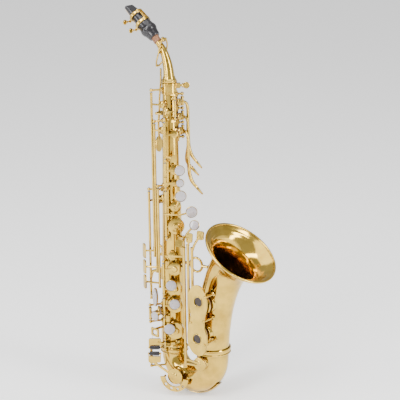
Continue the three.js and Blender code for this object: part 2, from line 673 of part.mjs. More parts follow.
addPart('gsharp_key', gSharpKey(), lacquerKey);
addPart('gsharp_pearl', pearlDisc(GSHARP_PEARL.place, GSHARP_PEARL.normal, 5.6), pearl);
const lowB = bellKey(BELL_HINGES.b, BELL_KEYS.b, 124.1, 203, touches.b);
const lowBb = bellKey(BELL_HINGES.bb, BELL_KEYS.bb, 78.1, 206, touches.bb);
addPart('low_b_key', lowB, lacquerKey, swung(BELL_HINGES.b, -8));
addPart('low_bb_key', lowBb, lacquerKey, swung(BELL_HINGES.bb, -8));
addPart('csharp_key', bellKey(BELL_HINGES.csharp, CSHARP_HOLE, 44, 202, touches.csharp), lacquerKey);

// ---------------------------------------------------------------- palm keys, on the left hand's side
function palmKey(height, tip) {
  const z = height;
  const swing = (a, d, h) => polar(38, a, h).add(polar(-52, d));
  const [a, d, tipHeight] = tip;
  const drop = z - tipHeight;
  return joined(
    hingeTube(PALM_HINGE, z - 5.6, z + 5.6),
    arm(PALM_HINGE, z, polar(12, padLevel(z) + 2, z)), cup(12, z, 5),
    bentRod([
      at(PALM_HINGE, z), swing(21, d, z - 5), swing(22, d, z - 0.5 * drop),
      swing(a - 12, d, z - 0.78 * drop), swing(a, d, tipHeight),
    ], 1.5, 10),
    plate(
      ellipse(2.6, 6.5), 1.6, swing(a - 2.6, d, tipHeight + 3.4), point(0.75, 0.55, 0.65), point(0.3, 0.2, -1)));
}

addPart('palm_f_key', palmKey(376, [36.5, -7.6, 291]), lacquerKey);
addPart('palm_d_key', palmKey(358, [32.5, -2, 283]), lacquerKey);
addPart('palm_eb_key', palmKey(340, [37, 3.6, 260]), lacquerKey);

// ---------------------------------------------------------------- side keys, on the right hand's side
function sideKey(hinge, bottom, top, cupHeight, cupDegrees, cupRadius, touchHeight, touchLength) {
  const face = point(-0.5, -0.86, 0).normalize();
  return joined(
    hingeTube(hinge, bottom, top, 1.6),
    arm(hinge, cupHeight, polar(cupDegrees, padLevel(cupHeight) + 2, cupHeight), 2.2),
    cup(cupDegrees, cupHeight, cupRadius),
    rod(at(hinge, touchHeight), point(-24.5, -26, touchHeight), 1.3),
    plate(roundedBox(8, touchLength, 2.4), 1.6, point(-24.4, -25.2, touchHeight), face));
}

addPart('side_e_key', sideKey(SIDE_HINGES.e, 178, 388.4, 374, -95, 4.6, 186, 19), lacquerKey);
addPart('side_c_key', sideKey(SIDE_HINGES.c, 158, 350, 342, -95, 4.8, 165, 18), lacquerKey);
addPart('side_bb_key', sideKey(SIDE_HINGES.bb, 139, 268.4, 256, -97, 4.4, 145, 18), lacquerKey);

const OVAL_PEARL = { place: point(-5, -29, 129), normal: point(-0.1, -1, 0).normalize() };
const TRILL_PEARL = { place: point(-5.4, -30, 104), normal: point(-0.1, -1, 0).normalize() };

function ovalFrame(halfWidth, halfHeight) {
  const { place, normal } = OVAL_PEARL;
  const base = plate(ellipse(halfWidth + 1, halfHeight + 1), DISH_FLOOR + 0.8, place, normal);
  const recess = plate(
    ellipse(halfWidth + GAP, halfHeight + GAP), 4, place.clone().addScaledVector(normal, DISH_FLOOR), normal);
  return cut(base, recess);
}

function highFSharpKey() {
  const hinge = HIGH_FSHARP_HINGE;
  return joined(
    hingeTube(hinge, 120, 261.4, 1.6),
    arm(hinge, 250, polar(-160, padLevel(250) + 2, 250), 2.2), cup(-160, 250, 5.4),
    bentRod(
      [at(hinge, 129), point(-15, -25, 129), OVAL_PEARL.place.clone().addScaledVector(OVAL_PEARL.normal, -0.6)], 1.3),
    ovalFrame(3.4, 11.4));
}

function trillKey() {
  return joined(
    hingeTube(LEFT_HINGE, 96, 112),
    arm(LEFT_HINGE, 104, polar(-140, padLevel(104) + 2, 104)), cup(-140, 104, 6.5),
    rod(at(LEFT_HINGE, 104), TRILL_PEARL.place.clone().addScaledVector(TRILL_PEARL.normal, -0.6), 1.3),
    dish(TRILL_PEARL.place, TRILL_PEARL.normal, 5.9));
}

addPart('high_fsharp_key', highFSharpKey(), lacquerKey);
addPart('oval_pearl', plate(ellipse(3.4, 11.4), 1.6,
  OVAL_PEARL.place.clone().addScaledVector(OVAL_PEARL.normal, DISH_FLOOR + GAP), OVAL_PEARL.normal), pearl);
addPart('trill_key', trillKey(), lacquerKey);
addPart('trill_pearl', pearlDisc(TRILL_PEARL.place, TRILL_PEARL.normal, 5.9), pearl);

// ---------------------------------------------------------------- little finger keys and their rollers
const FRONT = polar(-52, 1);
const ACROSS = polar(38, 1);

// A touch plate with two ears and a pin that carries its roller.
function rollerTouch(place, height, rollerHeight) {
  const centre = at(place, height);
  const rollerCentre = at(place, rollerHeight);
  const ear = (side) => bar(
    at(place, height).addScaledVector(ACROSS, side * 7.4),
    rollerCentre.clone().addScaledVector(ACROSS, side * 7.4), 1.2, 2.4, ACROSS.clone().cross(Z));
  return joined(
    plate(roundedBox(16, 8.4, 2), 2, centre.clone().addScaledVector(FRONT, -1), FRONT),
    ear(-1), ear(1),
    rod(
      rollerCentre.clone().addScaledVector(ACROSS, -7.6), rollerCentre.clone().addScaledVector(ACROSS, 7.6), 0.8));
}

function roller(place, height) {
  const [near, far] = [-6.2, 6.2].map((side) => at(place, height).addScaledVector(ACROSS, side));
  const beyond = [-8, 8].map((side) => at(place, height).addScaledVector(ACROSS, side));
  return cut(rod(near, far, 2.8, 10), rod(beyond[0], beyond[1], 1.2, 6));
}

const PINKY_PLACE = point(-5.6, -32.4, 0);

function eFlatKey() {
  const hinge = STACK_LOWER.hinge;
  return joined(
    hingeTube(hinge, 62.1, 69.2),
    bentRod([at(hinge, 64), polar(-52, 25, 64.5), polar(-25, padLevel(65.5) + 2, 65.5)], 1.4, 6),
    cup(-25, 65.5, 6.5),
    rod(at(hinge, 66.5), point(-2.5, -30.2, 69.5), 1.5),
    rollerTouch(PINKY_PLACE, 70, 62));
}

function lowCKey() {
  const { centre, deg, wall } = LOW_C_HOLE;
  const normal = polar(deg, 1);
  const cupPlace = centre.clone().add(polar(deg, wall + CHIMNEY_RISE + PAD_SPACE));
  const crest = cupPlace.clone().addScaledVector(normal, CUP_THICKNESS - 0.8);
  return joined(
    hingeTube(LEFT_HINGE, 36.2, 56.8),
    bar(at(LEFT_HINGE, 40), crest, 3, 2, normal), cupAt(cupPlace, normal, LOW_C_HOLE.radius),
    rod(at(LEFT_HINGE, 46), point(-7.2, -33.2, 46), 1.5),
    rollerTouch(PINKY_PLACE, 46, 54));
}

addPart('eb_key', eFlatKey(), lacquerKey);
addPart('low_c_key', lowCKey(), lacquerKey, swung(LEFT_HINGE, -4));
addPart('eb_roller', roller(PINKY_PLACE, 62), ebonite);
addPart('low_c_roller', roller(PINKY_PLACE, 54), ebonite, swung(LEFT_HINGE, -4));

function pinkyBracket() {
  const frame = cut(
    plate(roundedBox(15, 11, 1.5), 1.6, point(-6, -30, 82), point(-0.2, -1, 0)),
    plate(roundedBox(8, 6, 1), 5, point(-6, -28, 82), point(-0.2, -1, 0)));
  return joined(frame, rod(point(-9, -29.6, 85), polar(-112, bodyRadius(85) + GAP, 85), 1.5));
}

addPart('pinky_bracket', pinkyBracket(), lacquerKey);

// ---------------------------------------------------------------- octave mechanism
const OCTAVE_PIVOT = point(-17, 0, 360);

function octaveLever() {
  return joined(
    rod(point(-17, -3.6, 360), point(-17, 3.6, 360), 2),
    bentRod([OCTAVE_PIVOT, point(-16, 0, 378), point(-13.5, 0, 400), point(-13, 0, 416)], 1.2, 8),
    bentRod([OCTAVE_PIVOT, point(-18.5, 0, 345), point(-18, 0, 326)], 1.4, 8),
    plate(ellipse(6, 10), 2, point(-17.4, 0, 320), point(-1, 0, 0)));
}

function bodyOctaveKey() {
  const cupPlace = polar(-65, 12.6, 366);
  return joined(
    hingeTube(OCTAVE_HINGE, 359.4, 379.1, 1.5),
    arm(OCTAVE_HINGE, 366, polar(-65, 14.4, 366), 1.8), cupAt(cupPlace, polar(-65, 1), 3.2));
}

function neckOctaveKey() {
  const side = (y) => bentRod([
    point(-6.9, 0.5 * y, 453.3), point(-8, y, 445), point(-9.8, y, 436.6), point(-13, y, 427),
    point(-17.5, 0.4 * y, 419),
  ], 1);
  return joined(
    side(7.4), side(-7.4),
    rod(point(-6.9, -4, 453.3), point(-6.9, 4, 453.3), 1.1),
    cupAt(point(-8.4, 0, 452.1), point(0.79, 0, 0.61).normalize(), 3.2),
    rod(point(-17.5, -3.2, 419), point(-17.5, 3.2, 419), 1.2, 6), ball(point(-18, 0, 419), 1.9));
}

addPart('octave_lever', octaveLever(), lacquerKey);
addPart('body_octave_key', bodyOctaveKey(), lacquerKey);
addPart('neck_octave_key', neckOctaveKey(), lacquerKey);

// ---------------------------------------------------------------- guards, brace, hook and strap ring
function bowGuard() {
  const path = bowPath();
  const strip = (radius) => swept(path, (t) => bowRadius(t) + radius, 11, TUBE_SIDES);
  const band = cut(strip(1.6), strip(0.3));
  const wedge = new THREE.BoxGeometry(60, 9, 60);
  wedge.translate(31, 0, -6);
  const keep = solidOf(wedge);
  return band.intersect(keep);
}

function bellGuard() {
  const outline = new THREE.Shape([
    [-3, -45], [8, -44], [15, -34], [16, -18], [12, -4], [13.5, 8], [17, 22], [15, 36], [6, 46], [-5, 44],
    [-11, 34], [-11, 20], [-8.5, 6], [-11, -6], [-14.5, -20], [-12, -36],
  ].map(([x, z]) => new THREE.Vector2(x, z)));
  outline.arcSteps = 6;
  const window = (x, z, halfWidth, halfHeight) => outline.holes.push(
    new THREE.Path().absellipse(x, z, halfWidth, halfHeight, 0, 2 * Math.PI));
  window(1, -24, 6, 6.5);
  window(3.5, 25, 6, 6.5);
  const sheet = plate(outline, 1.6, point(67, -37.6, 115), point(0, -1, 0));
  const feet = [[79.5, 86], [78.5, 116], [58.5, 111], [81.5, 148]].map(([x, z]) => {
    const fromMiddle = x - bellMiddle(z);
    const wall = Math.sqrt(bellWall(z) ** 2 - fromMiddle ** 2);
    return rod(point(x, -wall, z), point(x, -37.8, z), 1.4);
  });
  return { sheet, feet };
}

const bellMiddle = (z) => 62.3 + 0.0017 * (z - 66) ** 2;
const bellWall = (z) => 23 + 0.02 * (z - 66);

function lowCGuard() {
  const outline = new THREE.Shape();
  outline.arcSteps = 5;
  outline.absarc(0, 0, 19.5, Math.PI * 1.02, Math.PI * 1.98);
  outline.absarc(0, 0, 12.6, Math.PI * 1.98, Math.PI * 1.02, true);
  for (const degrees of [222, 254, 286, 318]) {
    const angle = THREE.MathUtils.degToRad(degrees);
    outline.holes.push(new THREE.Path().absarc(16 * Math.cos(angle), 16 * Math.sin(angle), 1.9, 0, 2 * Math.PI));
  }
  const normal = polar(LOW_C_HOLE.deg, 1);
  const centre = LOW_C_HOLE.centre.clone().addScaledVector(normal, 26.8);
  const foot = (degrees, depth) => {
    const across = polar(LOW_C_HOLE.deg + 90, 16 * Math.cos(THREE.MathUtils.degToRad(degrees)));
    const start = centre.clone().add(across).add(point(0, 0, 16 * Math.sin(THREE.MathUtils.degToRad(degrees))));
    return rod(start.clone().addScaledVector(normal, 0.6), start.clone().addScaledVector(normal, -depth), 1.4);
  };
  return joined(plate(outline, 1.5, centre, normal), foot(190, 7.2), foot(348, 3.2));
}

function bellBrace() {
  const z = 172;
  const ring = new THREE.TorusGeometry(9, 1.6, 6, 16);
  ring.rotateX(Math.PI / 2);
  ring.translate(38, 0, z);
  return joined(
    solidOf(ring),
    rod(point(bodyRadius(z) + GAP + 0.1, 0, z), point(29.4, 0, z), 1.8),
    rod(point(46.6, 0, z), point(58.8, 0, z), 1.8));
}

function thumbHook() {
  const z = 152;
  const wall = -(bodyRadius(z) + GAP);
  return joined(
    bar(point(wall - 1.2, 0, z - 9), point(wall - 1.2, 0, z + 9), 9, 2, point(-1, 0, 0)),
    bentRod(
      [point(wall - 1, 0, z), point(wall - 9, 0, z + 1), point(wall - 19, 0, z - 2), point(wall - 23, 0, z - 12)],
      2, 10));
}

function strapRing() {
  const { x, z, radius, wire } = STRAP_RING;
  const ring = new THREE.TorusGeometry(radius, wire, 6, 16);
  ring.rotateX(Math.PI / 2);
  ring.translate(x, 0, z);
  const wall = -(bodyRadius(z) + GAP);
  return joined(
    solidOf(ring),
    bar(point(wall - 1.1, 0, z - 7), point(wall - 1.1, 0, z + 7), 8, 1.8, point(-1, 0, 0)),
    rod(point(wall - 1, 0, z), point(x + radius, 0, z), 2));
}

addPart('bow_guard', bowGuard(), lacquer);
const guard = bellGuard();
addPart('low_b_guard', joined(guard.sheet, ...guard.feet), lacquerKey);
addPart('low_c_guard', lowCGuard(), lacquerKey);
addPart('bell_brace', bellBrace(), lacquer);
addPart('thumb_hook', thumbHook(), lacquer);
addPart('strap_ring', strapRing(), lacquer);

export default saxophone;
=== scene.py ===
"""A curved soprano saxophone in lacquered brass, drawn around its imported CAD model.

Sizes are in millimetres about the body tube's axis, with height 0 at the bottom of the bow.
to_object() moves each piece into the frame, in metres, with the strap ring's centre as origin.
"""

import json
import math

import bmesh
import bpy
from mathutils import Matrix, Quaternion, Vector
from mathutils.geometry import tessellate_polygon

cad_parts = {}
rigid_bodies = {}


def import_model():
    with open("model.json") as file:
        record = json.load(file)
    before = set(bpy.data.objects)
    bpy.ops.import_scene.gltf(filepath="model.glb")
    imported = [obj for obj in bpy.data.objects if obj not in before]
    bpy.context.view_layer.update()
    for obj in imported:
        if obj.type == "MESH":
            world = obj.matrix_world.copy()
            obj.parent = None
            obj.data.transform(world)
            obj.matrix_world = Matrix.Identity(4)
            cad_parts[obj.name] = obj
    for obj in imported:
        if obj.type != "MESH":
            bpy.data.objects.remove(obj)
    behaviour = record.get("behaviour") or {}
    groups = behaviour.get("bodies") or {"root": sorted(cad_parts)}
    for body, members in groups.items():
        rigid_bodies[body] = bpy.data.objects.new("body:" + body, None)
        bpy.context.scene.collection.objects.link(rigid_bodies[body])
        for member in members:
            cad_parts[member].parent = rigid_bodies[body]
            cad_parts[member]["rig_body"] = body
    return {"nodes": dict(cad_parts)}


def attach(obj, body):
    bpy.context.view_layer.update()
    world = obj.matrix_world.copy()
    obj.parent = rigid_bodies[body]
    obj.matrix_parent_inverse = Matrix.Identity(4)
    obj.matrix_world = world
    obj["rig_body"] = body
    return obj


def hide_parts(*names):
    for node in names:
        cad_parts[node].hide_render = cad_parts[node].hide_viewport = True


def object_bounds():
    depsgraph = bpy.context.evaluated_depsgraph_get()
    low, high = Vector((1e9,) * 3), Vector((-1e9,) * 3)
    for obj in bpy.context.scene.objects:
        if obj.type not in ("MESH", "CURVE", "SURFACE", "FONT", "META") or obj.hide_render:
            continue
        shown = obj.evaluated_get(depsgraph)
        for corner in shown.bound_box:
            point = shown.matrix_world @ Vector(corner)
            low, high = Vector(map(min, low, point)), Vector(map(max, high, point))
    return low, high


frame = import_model()
CAD_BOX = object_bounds()

# ---- driving dimensions
MM = 0.001
STRAP_RING = Vector((-23.5, 0, 181))
GAP = 0.35
WALL = 1.0
BODY_TOP = 400
RECEIVER_LOW = 385
BODY_BOTTOM = 54
BODY_TOP_RADIUS = 8.5
BODY_BOTTOM_RADIUS = 15.8
RECEIVER_RADIUS = 9.2
TENON_RADIUS = 7.5
BOW_CENTRE = Vector((31, 0, 51))
BOW_END_RADIUS = 21
BELL_JOINT_Z = 66
RIM_RADIUS = 48
CHIMNEY_RISE = 1.8
PAD_SPACE = 2.2
CUP_THICKNESS = 2.8
BORE_INSET = 1.9
RIM_INSET = 1.1
DRILL_INSET = 1.85
HINGE_RADIUS = 1.9
THIN_HINGE_RADIUS = 1.6
ROD_RADIUS = 0.95
POST_RADIUS = 1.4
POST_BALL = 2.2
SHORT_POST = 5
DISH_FLOOR = 0.9
LOW_C_PAD = 0.9
PALM_CUP_RADIUS = 5
CLAMP_HEIGHT = 396
AXIS_REACH = 0.01
SIDE_DEGREES = 38
FRONT_DEGREES = SIDE_DEGREES - 90
BEVEL_DEGREES = 42
SMOOTH_DEGREES = 32
X = Vector((1, 0, 0))
Y = Vector((0, 1, 0))
Z = Vector((0, 0, 1))


# ---- places
def xyz(x, y, z):
    return Vector((x, y, z))


def polar(degrees, radius, height=0.0):
    angle = math.radians(degrees)
    return xyz(radius * math.cos(angle), radius * math.sin(angle), height)


def beside(degrees, out, side, height):
    """A place out along a tone hole's direction, moved sideways round the tube."""
    return polar(degrees, out, height) + polar(degrees + 90, side)


def at(place, height):
    return xyz(place.x, place.y, height)


UPPER = {"deg": -34, "hinge": polar(-72, 20), "open": 10}
LOWER = {"deg": -46, "hinge": polar(-80, 24), "open": 9}
LEFT_HINGE = xyz(-17, -26.5, 0)
PALM_HINGE = polar(50, 16)
GSHARP_HINGE = polar(-15, 24)
OCTAVE_HINGE = polar(-25, 14.5)
SIDE_HINGES = {"e": xyz(-13.8, -18.5, 0), "c": xyz(-9.6, -19.3, 0), "bb": xyz(-5.2, -20.4, 0)}
HIGH_FSHARP_HINGE = xyz(-22.5, -17, 0)
BELL_HINGES = {"csharp": xyz(40, -27, 0), "bb": xyz(45.5, -26, 0), "b": xyz(51, -25, 0)}


def body_radius(height):
    share = (BODY_TOP - height) / (BODY_TOP - BODY_BOTTOM)
    return BODY_TOP_RADIUS + share * (BODY_BOTTOM_RADIUS - BODY_TOP_RADIUS)


def pad_level(height):
    return body_radius(height) + CHIMNEY_RISE + PAD_SPACE


# ---- curves
def spline(points, closed=False, steps=12):
    """A centripetal Catmull-Rom curve through the points, as a list of places."""
    if closed:
        padded = [points[-1]] + points + points[:2]
    else:
        padded = [points[0] * 2 - points[1]] + points + [points[-1] * 2 - points[-2]]
    places = []
    for a, b, c, d in zip(padded, padded[1:], padded[2:], padded[3:]):
        t1 = (b - a).length ** 0.5
        t2 = t1 + (c - b).length ** 0.5
        t3 = t2 + (d - c).length ** 0.5
        for i in range(steps):
            t = t1 + (t2 - t1) * i / steps
            p = a.lerp(b, t / t1)
            q = b.lerp(c, (t - t1) / (t2 - t1))
            r = c.lerp(d, (t - t2) / (t3 - t2))
            places.append(p.lerp(q, t / t2).lerp(q.lerp(r, (t - t1) / (t3 - t1)), (t - t1) / (t2 - t1)))
    return places if closed else places + [points[-1]]


def spaced(places, count):
    """The same curve as evenly spaced places."""
    lengths = [0.0]
    for a, b in zip(places, places[1:]):
        lengths.append(lengths[-1] + (b - a).length)
    even = []
    k = 0
    for i in range(count + 1):
        want = lengths[-1] * i / count
        while k < len(places) - 2 and lengths[k + 1] < want:
            k += 1
        even.append(places[k].lerp(places[k + 1], (want - lengths[k]) / (lengths[k + 1] - lengths[k])))
    return even


def length_of(places):
    return sum((b - a).length for a, b in zip(places, places[1:]))


def tangents(places):
    ahead = places[1:] + [places[-1] * 2 - places[-2]]
    behind = [places[0] * 2 - places[1]] + places[:-1]
    return [(a - b).normalized() for a, b in zip(ahead, behind)]


# ---- solids
def round_angles(sides):
    return [2 * math.pi * k / sides for k in range(sides)]


class Sketch:
    """Closed solids in millimetres that together make one visible piece."""

    def __init__(self):
        self.vertices = []
        self.faces = []

    def skin(self, rings, looped=False):
        start = len(self.vertices)
        sides = len(rings[0])
        for ring in rings:
            self.vertices.extend(ring)
        for i in range(len(rings) if looped else len(rings) - 1):
            j = (i + 1) % len(rings)
            for k in range(sides):
                n = (k + 1) % sides
                self.faces.append([start + i * sides + k, start + i * sides + n,
                                   start + j * sides + n, start + j * sides + k])
        if not looped:
            self.faces.append([start + k for k in range(sides)])
            self.faces.append([start + (len(rings) - 1) * sides + k for k in range(sides)])
        return self

    def lathe(self, profile, place, direction, sides=40, looped=False):
        turn = Z.rotation_difference(direction)
        rings = []
        for radius, height in profile:
            reach = max(radius, AXIS_REACH)
            flat = [xyz(reach * math.cos(a), reach * math.sin(a), height) for a in round_angles(sides)]
            rings.append([place + turn @ p for p in flat])
        return self.skin(rings, looped)

    def sweep(self, places, radii, sides=14):
        directions = tangents(places)
        side = directions[0].orthogonal().normalized()
        rings = []
        for i, (place, along) in enumerate(zip(places, directions)):
            if i:
                side = directions[i - 1].rotation_difference(along) @ side
            up = along.cross(side)
            radius = radii[i] if isinstance(radii, list) else radii
            spokes = [side * math.cos(a) + up * math.sin(a) for a in round_angles(sides)]
            rings.append([place + spoke * radius for spoke in spokes])
        return self.skin(rings)

    def rod(self, start, end, radius, sides=16):
        return self.sweep([start, end], radius, sides)

    def upright(self, hinge, bottom, top, radius, sides=18):
        return self.rod(at(hinge, bottom), at(hinge, top), radius, sides)

    def bent(self, points, radii):
        """A round bar through the points, with one radius or with one for each point."""
        places = spline(points, steps=8)
        if isinstance(radii, (list, tuple)):
            spans = list(zip(radii, radii[1:]))
            radii = [low + (high - low) * i / 8 for low, high in spans for i in range(8)] + [radii[-1]]
        return self.sweep(places, radii)

    def ball(self, place, radius, direction=Z):
        angles = [math.pi * i / 10 for i in range(11)]
        profile = [(radius * math.sin(a), -radius * math.cos(a)) for a in angles]
        return self.lathe(profile, place, direction, 18)

    def ring(self, place, direction, radius, wire, sides=48):
        angles = [math.pi * i / 6 for i in range(12)]
        profile = [(radius + wire * math.cos(a), wire * math.sin(a)) for a in angles]
        return self.lathe(profile, place, direction, sides, looped=True)

    def bar(self, start, end, width, thickness, face):
        along = (end - start).normalized()
        out = (face - along * face.dot(along)).normalized() * (thickness / 2)
        side = along.cross(out).normalized() * (width / 2)
        section = [side + out, side - out, -side - out, -side + out]
        return self.skin([[start + s for s in section], [end + s for s in section]])

    def plate(self, outline, thickness, place, normal, up=Z, holes=()):
        """A flat plate with its back on a place; outlines are (x, y) pairs across and up the plate."""
        out = normal.normalized()
        high = (up - out * up.dot(out)).normalized()
        across = high.cross(out)
        loops = [[place + across * x + high * y for x, y in loop] for loop in (outline, *holes)]
        start = len(self.vertices)
        flat = [p for loop in loops for p in loop]
        self.vertices.extend(flat)
        self.vertices.extend(p + out * thickness for p in flat)
        for triangle in tessellate_polygon(loops):
            self.faces.append([start + k for k in triangle])
            self.faces.append([start + len(flat) + k for k in reversed(triangle)])
        first = start
        for loop in loops:
            for k in range(len(loop)):
                n = (k + 1) % len(loop)
                self.faces.append([first + k, first + n, first + n + len(flat), first + k + len(flat)])
            first += len(loop)
        return self


def ellipse(half_width, half_height, sides=28):
    return [(half_width * math.cos(a), half_height * math.sin(a)) for a in round_angles(sides)]


def moved(outline, x, y):
    return [(x + a, y + b) for a, b in outline]


def rounded_box(width, height, corner):
    outline = []
    for quarter, (sx, sy) in enumerate([(1, 1), (-1, 1), (-1, -1), (1, -1)]):
        for i in range(6):
            angle = math.pi / 2 * (quarter + i / 5)
            outline.append((sx * (width / 2 - corner) + corner * math.cos(angle),
                            sy * (height / 2 - corner) + corner * math.sin(angle)))
    return outline


# ---- materials
NOISE_LOW, NOISE_HIGH = 0.3, 0.7
# Painted shade: the brown that brass turns in corners and between parts, and how far in millimetres it
# reaches.
PAINTED_SHADE_COLOUR = (0.13, 0.07, 0.015)
PAINTED_SHADE_REACH = 7
PEARL_STOPS = [
    (0.32, (0.27, 0.24, 0.26)), (0.45, (0.42, 0.36, 0.37)),
    (0.56, (0.33, 0.33, 0.33)), (0.7, (0.5, 0.45, 0.46))]
LEATHER_STOPS = [(0.35, (0.2, 0.1, 0.05)), (0.65, (0.42, 0.25, 0.13))]
CORK_STOPS = [(0.35, (0.09, 0.035, 0.016)), (0.5, (0.24, 0.11, 0.055)), (0.68, (0.36, 0.19, 0.1))]
CANE_STOPS = [(0.35, (0.5, 0.31, 0.12)), (0.65, (0.74, 0.55, 0.28))]
FELT_STOPS = [(0.35, (0.02, 0.016, 0.014)), (0.65, (0.07, 0.055, 0.05))]


def set_inputs(node, values):
    for name, value in values.items():
        node.inputs[name].default_value = value


class Look:
    """A material: one shader and the nodes that drive it."""

    def __init__(self, name, colour, roughness, metallic=0.0):
        self.material = bpy.data.materials.new(name)
        self.material.use_nodes = True
        self.tree = self.material.node_tree
        self.shader = self.tree.nodes["Principled BSDF"]
        self.place = self.tree.nodes.new("ShaderNodeTexCoord").outputs["Object"]
        set_inputs(self.shader, {"Base Color": (*colour, 1), "Roughness": roughness, "Metallic": metallic})

    def add(self, kind, values, **links):
        node = self.tree.nodes.new("ShaderNode" + kind)
        set_inputs(node, values)
        for name, output in links.items():
            self.tree.links.new(output, node.inputs[name])
        return node

    def stretched(self, x, y, z):
        return self.add("Mapping", {"Scale": (x, y, z)}, Vector=self.place).outputs["Vector"]

    def noise(self, scale, detail=3.0, vector=None, distortion=0.0):
        values = {"Scale": scale, "Detail": detail, "Distortion": distortion}
        return self.add("TexNoise", values, Vector=vector or self.place).outputs["Fac"]

    def cells(self, scale):
        return self.add("TexVoronoi", {"Scale": scale}, Vector=self.place).outputs["Distance"]

    def ramp(self, value, stops):
        node = self.add("ValToRGB", {}, Fac=value)
        elements = node.color_ramp.elements
        elements[0].position, elements[0].color = stops[0][0], (*stops[0][1], 1)
        elements[1].position, elements[1].color = stops[-1][0], (*stops[-1][1], 1)
        for position, colour in stops[1:-1]:
            elements.new(position).color = (*colour, 1)
        return node.outputs["Color"]

    def span(self, value, low, high):
        """A noise's usual range, mapped to the range from low to high."""
        values = {"From Min": NOISE_LOW, "From Max": NOISE_HIGH, "To Min": low, "To Max": high}
        return self.add("MapRange", values, Value=value).outputs["Result"]

    def bump(self, value, strength, depth):
        values = {"Strength": strength, "Distance": depth * MM}
        return self.add("Bump", values, Height=value).outputs["Normal"]

    def with_painted_shade(self, colour, shade_colour, reach):
        """The colour, darkened to a painted shade where the surface lies close under or beside another."""
        shade_mask = self.add("AmbientOcclusion", {"Distance": reach * MM})
        shade_mask.samples = 4
        mixed = self.tree.nodes.new("ShaderNodeMix")
        mixed.data_type = "RGBA"
        mixed.inputs["A"].default_value = (*shade_colour, 1)
        self.tree.links.new(shade_mask.outputs["AO"], mixed.inputs["Factor"])
        self.tree.links.new(colour, mixed.inputs["B"])
        return mixed.outputs["Result"]

    def drive(self, name, output):
        self.tree.links.new(output, self.shader.inputs[name])


def brass(name, dark, light, roughness):
    """Polished brass under clear lacquer: warm clouding, painted brown shade in corners, haze and fine
    ripples.
    """
    look = Look(name, light, roughness, 1.0)
    clouded = look.ramp(look.noise(55, 5), [(0.32, dark), (0.62, light)])
    # Painted shade: ambient occlusion browns the base colour where parts lie close together.
    look.drive("Base Color", look.with_painted_shade(clouded, PAINTED_SHADE_COLOUR, PAINTED_SHADE_REACH))
    look.drive("Roughness", look.span(look.noise(170, 6), roughness * 0.75, roughness * 1.5))
    look.drive("Normal", look.bump(look.noise(420, 4), 0.12, 0.05))
    set_inputs(look.shader, {"Coat Weight": 0.15, "Coat Roughness": 0.06, "Coat Tint": (1.0, 0.93, 0.72, 1)})
    return look.material


def pearl_material():
    """Mother-of-pearl: pale layers of pink, cream and grey under a polished face."""
    look = Look("pearl", (0.6, 0.55, 0.55), 0.25)
    layers = look.noise(150, 5, look.stretched(1, 2.2, 1), 2.4)
    look.drive("Base Color", look.ramp(layers, PEARL_STOPS))
    look.drive("Normal", look.bump(layers, 0.1, 0.05))
    set_inputs(look.shader, {"Coat Weight": 0.8, "Coat Roughness": 0.04, "Sheen Weight": 0.15})
    return look.material


def ebonite_material():
    """Hard black rubber, polished but with fine hairline rubbing."""
    look = Look("ebonite", (0.012, 0.011, 0.013), 0.2)
    look.drive("Roughness", look.span(look.noise(900, 4, look.stretched(1, 8, 1)), 0.12, 0.34))
    look.drive("Normal", look.bump(look.noise(1800, 3), 0.08, 0.03))
    return look.material


def grained(name, stops, scale, stretch, roughness, depth):
    """A matt natural material, coloured and bumped by one stretched grain."""
    look = Look(name, stops[-1][1], roughness)
    grain = look.noise(scale, 8, look.stretched(*stretch), 0.6)
    look.drive("Base Color", look.ramp(grain, stops))
    look.drive("Normal", look.bump(grain, 0.6, depth))
    return look.material


def leather_material():
    """Tanned pad skin with a fine pebbled grain."""
    look = Look("leather", (0.3, 0.16, 0.08), 0.5)
    look.drive("Base Color", look.ramp(look.noise(260, 4), LEATHER_STOPS))
    look.drive("Normal", look.bump(look.cells(1500), 0.5, 0.12))
    return look.material


def steel_material():
    """Blued steel rod, drawn lengthwise."""
    look = Look("steel", (0.42, 0.4, 0.38), 0.28, 1.0)
    look.drive("Roughness", look.span(look.noise(1500, 3, look.stretched(1, 1, 0.05)), 0.2, 0.42))
    return look.material


LOOKS = {
    "lacquer": brass("lacquer", (0.50, 0.315, 0.045), (0.68, 0.455, 0.08), 0.12),
    "key_lacquer": brass("key_lacquer", (0.5, 0.32, 0.05), (0.68, 0.46, 0.085), 0.15),
    "steel": steel_material(),
    "pearl": pearl_material(),
    "ebonite": ebonite_material(),
    "cork": grained("cork", CORK_STOPS, 900, (1, 1, 1), 0.9, 0.25),
    "cane": grained("cane", CANE_STOPS, 900, (0.15, 1, 0.15), 0.6, 0.08),
    "leather": leather_material(),
    "felt": grained("felt", FELT_STOPS, 2200, (1, 1, 1), 1.0, 0.3),
}


# ---- making pieces
def swung(hinge, degrees):
    """The turn that stands a key drawn closed open about its upright hinge line."""
    turn = Matrix.Rotation(math.radians(degrees), 4, "Z")
    return Matrix.Translation(hinge) @ turn @ Matrix.Translation(-hinge)


def body_of(node):
    return frame["nodes"][node]["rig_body"]


def add_object(name, data):
    made = bpy.data.objects.new(name, data)
    bpy.context.scene.collection.objects.link(made)
    return made


def to_object(name, sketch, bevel, turn=None):
    place = Matrix.Scale(MM, 4) @ Matrix.Translation(-STRAP_RING)
    if turn is not None:
        place = place @ turn
    mesh = bpy.data.meshes.new(name)
    mesh.from_pydata([place @ p for p in sketch.vertices], [], sketch.faces)
    solid = bmesh.new()
    solid.from_mesh(mesh)
    bmesh.ops.recalc_face_normals(solid, faces=solid.faces)
    if bevel:
        sharp = math.radians(BEVEL_DEGREES)
        edges = [e for e in solid.edges if e.is_manifold and e.calc_face_angle(0) > sharp]
        bmesh.ops.bevel(solid, geom=edges, offset=bevel * MM, segments=2, affect="EDGES", clamp_overlap=True)
    solid.to_mesh(mesh)
    solid.free()
    return add_object(name, mesh)


def smooth(made):
    made.data.shade_smooth()
    made.data.set_sharp_from_angle(angle=math.radians(SMOOTH_DEGREES))


